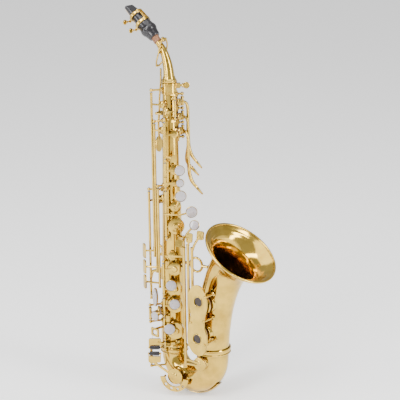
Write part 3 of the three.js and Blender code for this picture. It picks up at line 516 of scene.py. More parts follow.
def subtract(made, cutter):
    """Cuts one solid object out of another and drops the cutter."""
    tool = made.modifiers.new("cut", "BOOLEAN")
    tool.operation = "DIFFERENCE"
    tool.solver = "EXACT"
    tool.use_self = True
    tool.object = cutter
    result = bpy.data.meshes.new_from_object(made.evaluated_get(bpy.context.evaluated_depsgraph_get()))
    made.modifiers.clear()
    made.data = result
    bpy.data.objects.remove(cutter)


def make(name, sketch, look, body, replaces=(), bevel=0.25, turn=None, cutter=None):
    made = to_object(name, sketch, bevel, turn)
    if cutter is not None:
        subtract(made, to_object(name + "_cutter", cutter, 0))
    smooth(made)
    made.data.materials.clear()
    made.data.materials.append(LOOKS[look])
    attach(made, body)
    if replaces:
        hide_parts(*replaces)
    return made


def stand_in(node, sketch, look, bevel=0.25, turn=None, cutter=None):
    """The visible piece that takes the place of one CAD node."""
    return make(node + "_look", sketch, look, body_of(node), [node], bevel, turn, cutter)


# ---- body tube
UPPER_KEYS = [
    {"node": "g", "tube": (208.9, 238.2), "pearl": (24, 18.5, 240.5, 6.6), "arm": 236.9},
    {"node": "a", "tube": (238.8, 266.1), "pearl": (22.6, 5.5, 261.2, 6.5)},
    {"node": "bis", "tube": (271.9, 284.4), "pearl": (21.6, 5, 277.8, 4.6)},
    {"node": "b", "tube": (285, 302.1), "pearl": (21.4, 4.8, 293.6, 6)},
]
LOWER_KEYS = [
    {"node": "d", "tube": (74.9, 101.1), "pearl": (25.6, -7, 88.6, 6.8)},
    {"node": "e", "tube": (106.9, 127.1), "pearl": (24.4, 0, 121.3, 6.5)},
    {"node": "f", "tube": (132.9, 154.9), "pearl": (23.6, -4, 145.9, 6.6)},
]
# The body's tone hole under each key: its height, its radius and its direction round the tube.
HOLES = {
    "g_key": (221, 10.5, UPPER["deg"]), "a_key": (246, 7, UPPER["deg"]),
    "bis_key": (276.5, 4.6, UPPER["deg"]), "b_key": (293, 6.4, UPPER["deg"]),
    "d_key": (84, 11, LOWER["deg"]), "e_key": (118, 10, LOWER["deg"]),
    "f_key": (140, 10, LOWER["deg"]), "front_f_key": (338, 4.6, UPPER["deg"]),
    "fsharp_aux_key": (165.5, 8.6, LOWER["deg"]), "gsharp_key": (182, 5.6, -52), "eb_key": (65.5, 6.5, -25),
    "side_e_key": (374, 4.6, -95), "side_c_key": (342, 4.8, -95), "side_bb_key": (256, 4.4, -97),
    "high_fsharp_key": (250, 5.4, -160), "trill_key": (104, 6.5, -140),
    "palm_f_key": (376, 4.6, 12), "palm_d_key": (358, 4.8, 12), "palm_eb_key": (340, 5, 12),
}
POST_LINES = [
    (UPPER["hinge"], (206, 269, 305, 356)),
    (LOWER["hinge"], (59.4, 72, 104, 130, 176)),
    (LEFT_HINGE, (60, 93, 115)),
    (PALM_HINGE, (331, 349, 367, 385)),
    (GSHARP_HINGE, (168, 207)),
    (SIDE_HINGES["e"], (391.5,)),
    (SIDE_HINGES["c"], (353,)),
    (SIDE_HINGES["bb"], (271.5,)),
    (HIGH_FSHARP_HINGE, (264.5,)),
    (OCTAVE_HINGE, (356.5, 382)),
]


def chimney(sketch, centre, out, radius, wall):
    """A drawn tone hole: a short tube with a rolled rim."""
    inner, outer, top = radius - BORE_INSET, radius - RIM_INSET, wall + CHIMNEY_RISE
    angles = (-0.8, 0, 0.8, 1.57, 2.4)
    roll = [(outer + 0.1 + 0.35 * math.cos(a), top - 0.35 + 0.35 * math.sin(a)) for a in angles]
    profile = [(inner, wall - 3.5), (outer + 1.2, wall - 3.5), (outer + 0.4, wall + 0.2), (outer, wall + 0.6)]
    sketch.lathe(profile + roll + [(inner, top - 0.3)], centre, out, 48, looped=True)


def post(sketch, foot, hinge_place, screws=None):
    """A key post on its foot, turned with a waist, with a ball at its top and, when screws are given, a pivot
    screw standing through the ball.
    """
    along = (hinge_place - foot).normalized()
    length = (hinge_place - foot).length
    tip = (0, length - 0.8)
    if length < SHORT_POST:
        profile = [(0, -1.2), (2.6, -1.2), (2.4, 0.6), (POST_RADIUS, 1.0), (POST_RADIUS, length - 1), tip]
    else:
        profile = [
            (0, -1.2), (3.0, -1.2), (3.0, 0.9), (2.1, 1.4), (POST_RADIUS, 2.2),
            (POST_RADIUS * 0.86, length * 0.55), (POST_RADIUS, length - 1.6),
            (POST_RADIUS * 1.25, length - 1.3), tip]
    sketch.lathe(profile, foot, along, 20)
    sketch.ball(hinge_place, POST_BALL)
    if screws is not None:
        screws.upright(hinge_place, hinge_place.z - 2.45, hinge_place.z + 2.45, 1.05)


def body_tube():
    top, middle = BODY_TOP - 10, 230
    outside = [(BODY_BOTTOM_RADIUS, BODY_BOTTOM), (body_radius(middle), middle), (BODY_TOP_RADIUS + 0.1, top)]
    inside = [(BODY_TOP_RADIUS - WALL, top), (BODY_BOTTOM_RADIUS - WALL, BODY_BOTTOM)]
    tube = Sketch().lathe(outside + inside, Vector(), Z, 96, looped=True)
    holes = Sketch()
    for height, radius, degrees in HOLES.values():
        holes.rod(polar(degrees, 5, height), polar(degrees, 30, height), radius - DRILL_INSET, 32)
    stand_in("body_tube", tube, "lacquer", 0, cutter=holes)


def body_fittings():
    """Tone hole rims, ribs and key posts, all fixed to the tube, and the pivot screws in the posts."""
    fittings = Sketch()
    screws = Sketch()
    for height, radius, degrees in HOLES.values():
        chimney(fittings, at(Vector(), height), polar(degrees, 1), radius, body_radius(height))
    for hinge, heights in POST_LINES:
        for height in heights:
            foot = at(hinge, 0).normalized() * (body_radius(height) + 0.6)
            post(fittings, at(foot, height), at(hinge, height), screws)
        low, high = min(heights) - 5, max(heights) + 5
        out = at(hinge, 0).normalized()
        if len(heights) > 1:
            ends = [at(out * (body_radius(z) + 0.2), z) for z in (low, high)]
            fittings.bar(*ends, 6, 1.2, out)
    for side in (-5.5, 5.5):
        fittings.rod(xyz(-8, side, 360), xyz(-17, side, 360), POST_RADIUS)
        fittings.ball(xyz(-17, side, 360), 1.9, Y)
    make("body_fittings", fittings, "lacquer", "body", bevel=0.15)
    make("pivot_screws", screws, "steel", "body", bevel=0.15)


def receiver():
    """The sleeve that the neck's tenon goes into, with beads at both ends and a clamp lug."""
    outer, inner = RECEIVER_RADIUS, TENON_RADIUS + 0.1
    beads = [(outer + 0.9, RECEIVER_LOW + 1), (outer + 0.9, RECEIVER_LOW + 2.6), (outer, RECEIVER_LOW + 3.2),
             (outer, BODY_TOP - 3.4), (outer + 0.8, BODY_TOP - 2.8), (outer + 0.8, BODY_TOP - 0.6)]
    ends = [(outer, BODY_TOP), (inner, BODY_TOP), (inner, RECEIVER_LOW)]
    sleeve = Sketch().lathe([(BODY_TOP_RADIUS, RECEIVER_LOW)] + beads + ends, Vector(), Z, 72, looped=True)
    along, side = polar(SIDE_DEGREES, 1), polar(SIDE_DEGREES + 90, 1)
    for sign in (-1, 1):
        base = at(along * (outer - 0.8) + side * 1.9 * sign, CLAMP_HEIGHT)
        sleeve.bar(base, base + along * 5.3, 6, 2.6, side)
    make("receiver", sleeve, "lacquer", "body", bevel=0.3)


def tube_ring(node, centre, low, high, inner, outer):
    """A joint ring between two tubes, with a bead at each edge."""
    span = high - low
    steps = [(0.9, 0.12), (0.9, 0.2), (0.2, 0.3), (0.5, 0.5), (0.2, 0.7), (0.9, 0.8), (0.9, 0.88)]
    beads = [(outer + rise, low + share * span) for rise, share in steps]
    profile = [(inner, low), (outer + 0.2, low)] + beads + [(outer + 0.2, high), (inner, high)]
    stand_in(node, Sketch().lathe(profile, xyz(centre, 0, 0), Z, 96, looped=True), "lacquer", 0.15)


# ---- neck
NECK_STEPS = 60
NECK_TIP_RADIUS = 3.9
NECK_LINE = [(0, 386.5), (0, 402), (-2, 421), (-7.6, 437), (-15, 447), (-22, 454.8), (-29, 461.2)]


def neck_path():
    return spaced(spline([xyz(x, 0, z) for x, z in NECK_LINE]), NECK_STEPS)


def neck():
    path = neck_path()
    narrowing = [min(1, max(0, (i / NECK_STEPS - 0.17) / 0.6)) for i in range(NECK_STEPS + 1)]
    radii = [TENON_RADIUS + (NECK_TIP_RADIUS - TENON_RADIUS) * share for share in narrowing]
    tube = Sketch().sweep(path, radii, 48)
    z = BODY_TOP + GAP
    steps = [(7.2, 0), (9.4, 0), (9.9, 0.8), (9.9, 1.6), (9.2, 2.2), (9.2, 3), (8.2, 4.2), (7.2, 5.6)]
    tube.lathe([(radius, z + rise) for radius, rise in steps], Vector(), Z, 64)
    tube.lathe([(2.4, -2), (2.4, 2.4), (1.9, 2.8), (1.9, 4.9), (0.8, 4.9), (0.8, 4.2), (0, 4.2)],
               xyz(-14, 0, 447.8), xyz(3.9, 0, 3).normalized(), 24)
    for side in (-1, 1):
        tube.rod(xyz(-9, 3.2 * side, 437), xyz(-9.4, 6.3 * side, 436.6), 1.4)
    stand_in("neck", tube, "lacquer", 0.15)
    ring = Sketch().sweep(spaced(path[9:16], 4), [8.0, 8.3, 8.3, 8.0, 7.4], 48)
    make("neck_ring", ring, "lacquer", "neck", bevel=0.2)


def neck_cork():
    path = neck_path()
    stand_in("neck_cork", Sketch().sweep(spaced(path[47:60], 12), 4.85, 40), "cork", 0.25)


def neck_octave_key():
    key = Key("neck_octave_key")
    for side in (-1, 1):
        wire = [(-6.9, 3.7, 453.3), (-8, 7.4, 445), (-9.8, 7.4, 436.6), (-13, 7.4, 427), (-17.5, 3, 419)]
        key.bent([xyz(x, y * side, z) for x, y, z in wire], 1.0)
    key.rod(xyz(-6.9, -4, 453.3), xyz(-6.9, 4, 453.3), 1.1)
    key.cup(xyz(-8.4, 0, 452.1), xyz(0.79, 0, 0.61).normalized(), 3.2, thin=1.0)
    key.rod(xyz(-17.5, -3.2, 419), xyz(-17.5, 3.2, 419), 1.2).ball(xyz(-18, 0, 419), 1.7)
    key.finish()


# ---- mouthpiece
PIECE_END = xyz(-21, 0, 454)
PIECE_AXIS = xyz(-0.752, 0, 0.659).normalized()
REED_SIDE = xyz(-0.659, 0, -0.752).normalized()
PIECE_LENGTH = 54.6
PIECE_BORE = 5.2
REED_START = (22.6, 5.65)
REED_LENGTH = 31.5
REED_HALF_WIDTH = 4.2
REED_STEPS = 12
BANDS = [{"s": 25, "inner": 9.15, "drop": 12}, {"s": 38.4, "inner": 8.3, "drop": 10.8}]


def along_piece(s, down=0.0, side=0.0):
    return PIECE_END + PIECE_AXIS * s + REED_SIDE * down + Y * side


def mouthpiece():
    waist = [
        (7.4, 1.2), (8.8, 8), (10, 10.5), (10.3, 14), (9.4, 17), (8.4, 26), (7.3, 38), (6.3, PIECE_LENGTH)]
    fine = spline([xyz(radius, s, 0) for radius, s in waist], steps=5)
    outline = [(0, 0), (6.6, 0), (7.1, 0.5)] + [(p.x, p.y) for p in fine] + [(0, PIECE_LENGTH)]
    body = Sketch().lathe(outline, PIECE_END, PIECE_AXIS, 72)
    cuts = Sketch()
    cuts.rod(along_piece(-1), along_piece(20), PIECE_BORE, 40)
    cuts.bar(along_piece(19.5, 15.3), along_piece(60, 14.2), 30, 20, REED_SIDE)
    beak = Sketch().bar(along_piece(33, -16.4), along_piece(60, -9.6), 30, 20, REED_SIDE)
    made = stand_in("mouthpiece", body, "ebonite", 0, cutter=cuts)
    subtract(made, to_object("beak_cutter", beak, 0))
    smooth(made)


def reed():
    """A blade with an arched top, which thins towards its tip."""
    slope = (along_piece(55, 4.7) - along_piece(*REED_START)).normalized()
    down = (REED_SIDE - slope * REED_SIDE.dot(slope)).normalized()
    rings = []
    for i in range(REED_STEPS + 1):
        share = i / REED_STEPS
        thick = 1.8 - 0.2 * share if share < 0.5 else 1.7 - 1.35 * (share - 0.5) * 2
        start = along_piece(*REED_START) + slope * REED_LENGTH * share
        arch = [REED_HALF_WIDTH * (1 - k / 4) for k in range(9)]
        top = [start + Y * y + down * (thick * (1 - 0.35 * (y / REED_HALF_WIDTH) ** 2)) for y in arch]
        rings.append([start + Y * REED_HALF_WIDTH, *top, start - Y * REED_HALF_WIDTH])
    stand_in("reed", Sketch().skin(rings), "cane", 0)


def ligature():
    metal = Sketch()
    for band in BANDS:
        inner, outer = band["inner"], band["inner"] + 0.8
        profile = [
            (inner, -1.6), (outer, -1.9), (outer + 0.35, -1.5), (outer, -1.0),
            (outer, 1.0), (outer + 0.35, 1.5), (outer, 1.9), (inner, 1.6)]
        metal.lathe(profile, along_piece(band["s"]), PIECE_AXIS, 56, looped=True)
        for side in (-4, 4):
            start = along_piece(band["s"], inner - 1.2, side)
            metal.bar(start, along_piece(band["s"], band["drop"] + 1.6, side), 3.2, 2, Y)
    for side in (-2.4, 0, 2.4):
        metal.bar(along_piece(24, -9.5, side), along_piece(39.4, -8.6, side), 1.5, 0.9, REED_SIDE)
    stand_in("ligature", metal, "key_lacquer", 0.2)
    for band, node in zip(BANDS, ("ligature_screw_lower", "ligature_screw_upper")):
        tip, head = [along_piece(band["s"], band["drop"], side) for side in (5.2, -14)]
        thumb_screw(node, tip, head, 0.85, 3.1)


def thumb_screw(node, tip, head, shank, head_radius):
    """A shank with a turned collar and a flat round head with a rim."""
    along = (head - tip).normalized()
    face = along.cross(Z).normalized()
    collar = head - along * (head_radius + 1.4)
    screw = Sketch().rod(tip, head, shank)
    steps = [(1, 0), (1.8, 0.3), (2, 1.2), (1.5, 2.4), (1, 3)]
    screw.lathe([(shank * share, rise) for share, rise in steps], collar, along, 28)
    half = [(0, 0.5), (head_radius - 0.7, 0.5), (head_radius - 0.4, 0.85), (head_radius, 0.6)]
    screw.lathe([(radius, -rise) for radius, rise in half] + half[::-1], head, face, 36)
    stand_in(node, screw, "key_lacquer", 0.1)


def neck_screw():
    tip, head = [polar(SIDE_DEGREES, out, CLAMP_HEIGHT) for out in (9, 21)]
    thumb_screw("neck_screw", tip, head, 1.5, 4.1)


# ---- bow and bell
BOW_STEPS = 72
VISIBLE_BOW_SHARE = 0.985
BELL_LINE = [(62.3, 66), (62.6, 80), (64, 96), (70, 130), (84, 168), (107.5, 200)]
BELL_STEPS = 400
BELL_STATIONS = 90
BELL_SIDES = 120
BELL_WIDENING = 3
BELL_WALL = 0.8
FLARE_LENGTH = 11.5
RIM_BEAD = 1.6


def bow_path():
    places = [xyz(0, 0, BODY_BOTTOM - GAP)]
    for degrees in range(0, 181, 15):
        angle = math.radians(degrees)
        places.append(BOW_CENTRE + xyz(-BOW_CENTRE.x * math.cos(angle), 0, -BOW_CENTRE.x * math.sin(angle)))
    return spaced(spline(places + [xyz(62.3, 0, BELL_JOINT_Z - 0.9)]), BOW_STEPS)


def bow_radius(step):
    return BODY_BOTTOM_RADIUS + (BOW_END_RADIUS - BODY_BOTTOM_RADIUS) * step / BOW_STEPS


def hole_at(x, z, degrees, radius, wall):
    return {"centre": xyz(x, 0, z), "deg": degrees, "radius": radius, "wall": wall}


LOW_C_HOLE = hole_at(13.2, 25.6, -75, 10.5, 17.4)
CSHARP_HOLE = hole_at(60.5, 52, -90, 9, 20.6)
LOW_BB_HOLE = hole_at(62.8, 93, -90, 14, 21.6)
LOW_B_HOLE = hole_at(70.4, 134, -90, 13, 22.4)


def bow():
    """The bent tube, drawn a little thin so that its keys clear it, with its tone hole rims and a post."""
    radii = [VISIBLE_BOW_SHARE * bow_radius(i) for i in range(BOW_STEPS + 1)]
    stand_in("bow", Sketch().sweep(bow_path(), radii, 80), "lacquer", 0)
    fittings = Sketch()
    for hole in (LOW_C_HOLE, CSHARP_HOLE):
        chimney(fittings, hole["centre"], polar(hole["deg"], 1), hole["radius"], hole["wall"])
    post(fittings, xyz(-3, -12, 33), at(LEFT_HINGE, 33))
    make("bow_fittings", fittings, "lacquer", "body", bevel=0.15)


def bow_guard():
    """A strip that follows the outside of the bow."""
    half_width, top = 4.5, 22
    outline = [(-1, 0.2), (-1, 1.2), (-0.5, 1.6), (0, 1.7), (0.5, 1.6), (1, 1.2), (1, 0.2), (0, 0.2)]
    rings = []
    for i, middle in enumerate(bow_path()):
        out = (middle - BOW_CENTRE).normalized()
        radius = bow_radius(i)
        if middle.z + radius * out.z > top:
            continue
        section = []
        for share, rise in outline:
            angle = share * half_width / radius
            section.append(middle + (out * math.cos(angle) + Y * math.sin(angle)) * (radius + rise))
        rings.append(section)
    stand_in("bow_guard", Sketch().skin(rings), "lacquer", 0.2)


def bell():
    """A thin wall that widens slowly and then flares, with its edge rolled over a wire."""
    path = spaced(spline([xyz(x, 0, z) for x, z in BELL_LINE]), BELL_STEPS)
    length = length_of(path)
    directions = tangents(path)
    flare = RIM_RADIUS - BOW_END_RADIUS - BELL_WIDENING
    angles = round_angles(BELL_SIDES)
    outside, inside = [], []
    for i in range(BELL_STATIONS + 1):
        k = round(BELL_STEPS * (1 - (1 - i / BELL_STATIONS) ** 1.6))
        from_rim = (1 - k / BELL_STEPS) * length
        barrel = BOW_END_RADIUS + BELL_WIDENING * k / BELL_STEPS
        radius = barrel + flare * math.exp(-from_rim / FLARE_LENGTH)
        side = Y.cross(directions[k])
        for rings, reach in ((outside, radius), (inside, radius - BELL_WALL)):
            rings.append([path[k] + side * reach * math.cos(a) + Y * reach * math.sin(a) for a in angles])
    horn = Sketch().skin(outside + inside[::-1], looped=True)
    stand_in("bell", horn, "lacquer", 0)
    trim = Sketch().ring(path[-1] - directions[-1] * 0.4, directions[-1], RIM_RADIUS - 0.5, RIM_BEAD, 160)
    make("bell_rim", trim, "lacquer", "body", bevel=0)
    fittings = Sketch()
    for hole in (LOW_BB_HOLE, LOW_B_HOLE):
        chimney(fittings, hole["centre"], polar(hole["deg"], 1), hole["radius"], hole["wall"])
    for hinge, z, middle in ((BELL_HINGES["b"], 121, 68.5), (BELL_HINGES["bb"], 75, 62.8)):
        post(fittings, xyz(middle - 14, -17, z), at(hinge, z))
    make("bell_fittings", fittings, "lacquer", "body", bevel=0.15)


# ---- keys
class Key(Sketch):
    """The brass of one key and the leather pad under it, which both ride on the key's body."""

    def __init__(self, node, hinge=None, degrees=0):
        super().__init__()
        self.node = node
        self.turn = swung(hinge, degrees) if hinge is not None else None
        self.pad = Sketch()

    def cup(self, place, normal, radius, thin=PAD_SPACE):
        """A pad cup: an upright wall, a shallow dome and a raised button, over a leather pad."""
        shares = (0.97, 0.85, 0.7, 0.55, 0.42)
        dome = [(radius * share, 1.5 + 0.9 * (1 - share * share)) for share in shares]
        steps = ((0.38, 2.5), (0.34, 2.75), (0.15, CUP_THICKNESS), (0, CUP_THICKNESS))
        button = [(share * radius, rise) for share, rise in steps]
        wall = [(0, -0.2), (radius - 0.5, -0.2), (radius - 0.5, -0.5), (radius, -0.5), (radius, 1.1)]
        self.lathe(wall + dome + button, place, normal, 56)
        soft = radius - 0.55
        steps = ((0, 0.15), (soft * 0.5, 0.1), (soft - 1, 0.05), (soft - 0.3, 0.3), (soft, 0.8))
        face = [(reach, rise - thin) for reach, rise in steps]
        self.pad.lathe(face + [(soft, 0.3), (0, 0.3)], place, normal, 48)

    def arm(self, hinge, height, end, width=2.6):
        start = at(hinge, height)
        outward = (end - start).cross(Z).normalized()
        self.bar(start, end, width, 1.8, outward)
        self.bar(start, start.lerp(end, 0.55), width * 0.45, 2.9, outward)

    def cover(self, hinge, width=2.6, radius=None):
        """The arm from the hinge to the key's own hole in the body, and the cup over that hole."""
        height, own_radius, degrees = HOLES[self.node]
        self.arm(hinge, height, polar(degrees, pad_level(height) + 2, height), width)
        self.cup(polar(degrees, pad_level(height), height), polar(degrees, 1), radius or own_radius)

    def tube(self, hinge, bottom, top, radius=HINGE_RADIUS):
        """A hinge tube with a collar at each end."""
        self.upright(hinge, bottom, top, radius, 24)
        for low in (bottom, top - 1.4):
            self.upright(hinge, low, low + 1.4, radius + 0.35, 24)

    def finish(self):
        stand_in(self.node, self, "key_lacquer", 0.22, self.turn)
        if self.pad.vertices:
            pad = make(self.node + "_pad", self.pad, "leather", body_of(self.node), bevel=0, turn=self.turn)


def dish(sketch, place, normal, radius):
    """The seat of a round pearl, with a rim that stands round it."""
    edge = radius + 0.8
    under = [(0, -0.3), (radius * 0.6, -0.3), (edge - 0.2, 0.1), (edge, 0.5)]
    rim = [(edge, 1.5), (edge - 0.25, 1.7), (radius + 0.3, 1.6), (radius + 0.3, DISH_FLOOR), (0, DISH_FLOOR)]
    sketch.lathe(under + rim, place, normal, 44)


def pearl(node, place, normal, radius, turn=None):
    base = place + normal * (DISH_FLOOR + 0.1)
    edge = [(0, 0), (radius, 0), (radius, 0.8), (radius - 0.25, 1.15)]
    crown = [(radius * 0.75, 1.45), (radius * 0.4, 1.62), (0, 1.7)]
    stand_in(node, Sketch().lathe(edge + crown, base, normal, 48), "pearl", 0, turn)


def stack_key(spec, stack):
    """A key of one hand's stack, with its pearl over its cup or, where it has an arm, beside it."""
    out, side, pearl_height, pearl_radius = spec["pearl"]
    deg, hinge = stack["deg"], stack["hinge"]
    normal = polar(deg, 1)
    seat = beside(deg, out, side, pearl_height)
    key = Key(spec["node"] + "_key", hinge, -stack["open"])
    key.tube(hinge, *spec["tube"])
    key.cover(hinge)
    if "arm" in spec:
        start = at(hinge, spec["arm"]) + normal * 1.5
        key.bent([start, beside(deg, out - 2, 4, spec["arm"]), seat - normal * 0.6], 1.2)
    else:
        key.rod(polar(deg, out - 3, HOLES[key.node][0]), seat - normal * 0.2, 1.4)
    dish(key, seat, normal, pearl_radius)
    key.finish()
    pearl(spec["node"] + "_pearl", seat, normal, pearl_radius, key.turn)


def front_f_key():
    deg, hinge = UPPER["deg"], UPPER["hinge"]
    key = Key("front_f_key", hinge, -UPPER["open"])
    key.tube(hinge, 307.9, 353.1)
    key.cover(hinge)
    key.arm(hinge, 311, beside(deg, 20.4, -3, 309), 2.4)
    key.plate(ellipse(3.2, 5), 1.6, beside(deg, 20, -2, 308.5), polar(deg, 1))
    key.finish()


def f_sharp_aux_key():
    hinge = LOWER["hinge"]
    key = Key("fsharp_aux_key", hinge, -LOWER["open"])
    key.tube(hinge, 155.4, 173.1)
    key.cover(hinge)
    key.finish()


def g_sharp_key():
    place, normal, pearl_radius = xyz(49, -16.5, 229), xyz(0.45, -0.85, 0.3).normalized(), 5.6
    key = Key("gsharp_key")
    key.tube(GSHARP_HINGE, 170.9, 204.1)
    key.cover(GSHARP_HINGE)
    key.bent([at(GSHARP_HINGE, 202), xyz(33, -12, 214), place - normal * 0.2], 1.4)
    dish(key, place, normal, pearl_radius)
    key.finish()
    pearl("gsharp_pearl", place, normal, pearl_radius)


def bell_key(node, hinge, hole, bottom, top, touch, degrees=0):
    x, y, z, width, height = touch
    level = hole["centre"].z
    place = hole["centre"] + polar(-90, hole["wall"] + CHIMNEY_RISE + PAD_SPACE)
    crest = place + xyz(0, 0.9 - CUP_THICKNESS, 0)
    key = Key(node, hinge, degrees)
    key.tube(hinge, bottom, top)
    for offset in (-3, 3):
        key.bar(at(hinge, level + offset), crest + Z * offset * 0.6, 2.4, 1.8, -Y)
    key.cup(place, -Y, hole["radius"])
    bend = at(hinge, top - 1.6).lerp(xyz(x, y + 1, z), 0.3)
    key.bent([at(hinge, top - 6), bend, xyz(x, y + 0.6, z)], 1.5)
    key.plate(rounded_box(width, height, 2.2), 1.8, xyz(x, y + 1.2, z), xyz(0.2, -1, 0.15))
    key.finish()


def palm_key(node, reach, drift, tip_height):
    """A key high on the side, whose long finger hangs down and out to where the palm meets it."""
    height = HOLES[node][0]
    drop = height - tip_height
    key = Key(node)
    key.tube(PALM_HINGE, height - 5.6, height + 5.6)
    key.cover(PALM_HINGE, radius=PALM_CUP_RADIUS)
    aside = polar(FRONT_DEGREES, drift)
    middle, low = height - 0.5 * drop, height - 0.78 * drop
    bends = ((21, height - 5), (22, middle), (reach - 12, low), (reach, tip_height))
    finger = [polar(SIDE_DEGREES, out, z) + aside for out, z in bends]
    key.bent([at(PALM_HINGE, height)] + finger, (1.5, 1.9, 2.2, 2.5, 1.2))
    touch = polar(SIDE_DEGREES, reach - 2.6, tip_height + 3.4) + aside
    key.plate(ellipse(2.9, 7.5), 1.7, touch, xyz(0.75, 0.55, 0.65), xyz(0.3, 0.2, -1))
    key.finish()


def side_key(node, hinge, bottom, top, touch_height, touch_length):
    """A key with a long hinge tube between its touch, low on the side, and its cup."""
    key = Key(node)
    key.tube(hinge, bottom, top, THIN_HINGE_RADIUS)
    key.cover(hinge, 2.2)
    key.rod(at(hinge, touch_height), xyz(-24.5, -26, touch_height), 1.3)
    touch = rounded_box(8, touch_length, 2.4)
    key.plate(touch, 1.8, xyz(-24.4, -25.2, touch_height), xyz(-0.5, -0.86, 0))
    key.finish()


PEARL_FACE = xyz(-0.1, -1, 0).normalized()
OVAL_PLACE = xyz(-5, -29, 129)
TRILL_PLACE = xyz(-5.4, -30, 104)
TRILL_RADIUS = 5.9


def high_f_sharp_key():
    hinge, place, normal = HIGH_FSHARP_HINGE, OVAL_PLACE, PEARL_FACE
    key = Key("high_fsharp_key")
    key.tube(hinge, 120, 261.4, THIN_HINGE_RADIUS)
    key.cover(hinge, 2.2)
    key.bent([at(hinge, 129), xyz(-15, -25, 129), place - normal * 0.4], 1.3)
    seat, opening = ellipse(4.4, 12.4, 40), ellipse(3.75, 11.75, 40)
    key.plate(seat, DISH_FLOOR, place, normal)
    key.plate(seat, 0.8, place + normal * DISH_FLOOR, normal, holes=[opening[::-1]])
    key.finish()
    oval = Sketch().plate(ellipse(3.5, 11.5, 40), 1.6, place + normal * 1.0, normal)
    stand_in("oval_pearl", oval, "pearl", 0.45)


def trill_key():
    key = Key("trill_key")
    key.tube(LEFT_HINGE, 96, 112)
    key.cover(LEFT_HINGE)
    key.rod(at(LEFT_HINGE, 104), TRILL_PLACE - PEARL_FACE * 0.2, 1.3)
    dish(key, TRILL_PLACE, PEARL_FACE, TRILL_RADIUS)
    key.finish()
    pearl("trill_pearl", TRILL_PLACE, PEARL_FACE, TRILL_RADIUS)


FRONT = polar(FRONT_DEGREES, 1)
ACROSS = polar(SIDE_DEGREES, 1)
PINKY_PLACE = xyz(-5.6, -32.4, 0)


def roller_touch(sketch, height, roller_height):
    """A plate for the little finger, with two ears and a pin that hold a roller at its edge."""
    centre, roller_centre = at(PINKY_PLACE, height), at(PINKY_PLACE, roller_height)
    sketch.plate(rounded_box(16, 8.4, 2), 2, centre - FRONT, FRONT)
    for side in (-7.4, 7.4):
        sketch.bar(centre + ACROSS * side, roller_centre + ACROSS * side, 1.2, 2.4, FRONT)
        sketch.ball(roller_centre + ACROSS * side, 1.5, ACROSS)
    sketch.rod(roller_centre - ACROSS * 7.6, roller_centre + ACROSS * 7.6, 0.8)


def roller(node, height, turn=None):
    half = [(2.8, 5.6), (2.3, 6.2), (0, 6.2)]
    profile = [(radius, -reach) for radius, reach in half[::-1]] + half
    stand_in(node, Sketch().lathe(profile, at(PINKY_PLACE, height), ACROSS, 36), "ebonite", 0, turn)


def e_flat_key():
    hinge = LOWER["hinge"]
    height, radius, degrees = HOLES["eb_key"]
    key = Key("eb_key")
    key.tube(hinge, 62.1, 69.2)
    key.bent([at(hinge, 64), polar(-52, 25, 64.5), polar(degrees, pad_level(height) + 2, height)], 1.5)
    key.cup(polar(degrees, pad_level(height), height), polar(degrees, 1), radius)
    key.rod(at(hinge, 66.5), xyz(-2.5, -30.2, 69.5), 1.5)
    roller_touch(key, 70, 62)
    key.finish()
    roller("eb_roller", 62)


def low_c_key():
    normal = polar(LOW_C_HOLE["deg"], 1)
    place = LOW_C_HOLE["centre"] + normal * (LOW_C_HOLE["wall"] + CHIMNEY_RISE + PAD_SPACE)
    key = Key("low_c_key", LEFT_HINGE, -4)
    key.tube(LEFT_HINGE, 36.2, 56.8)
    key.bar(at(LEFT_HINGE, 40), place + normal * (CUP_THICKNESS - 0.6), 3, 1.5, normal)
    key.cup(place, normal, LOW_C_HOLE["radius"], LOW_C_PAD)
    key.rod(at(LEFT_HINGE, 46), xyz(-7.2, -33.2, 46), 1.5)
    roller_touch(key, 46, 54)
    key.finish()
    roller("low_c_roller", 54, key.turn)


def octave_keys():
    pivot = xyz(-17, 0, 360)
    lever = Key("octave_lever")
    lever.rod(pivot - Y * 3.6, pivot + Y * 3.6, 2)
    lever.bent([pivot, xyz(-16, 0, 378), xyz(-13.5, 0, 400), xyz(-13, 0, 416)], 1.2)
    lever.bent([pivot, xyz(-18.5, 0, 345), xyz(-18, 0, 326)], 1.4)
    lever.plate(ellipse(6, 10, 40), 2, xyz(-17.4, 0, 320), -X)
    lever.finish()
    key = Key("body_octave_key")
    key.tube(OCTAVE_HINGE, 359.4, 379.1, 1.5)
    key.arm(OCTAVE_HINGE, 366, polar(-65, 14.4, 366), 1.8)
    key.cup(polar(-65, 12.6, 366), polar(-65, 1), 3.2, thin=1.0)
    key.finish()


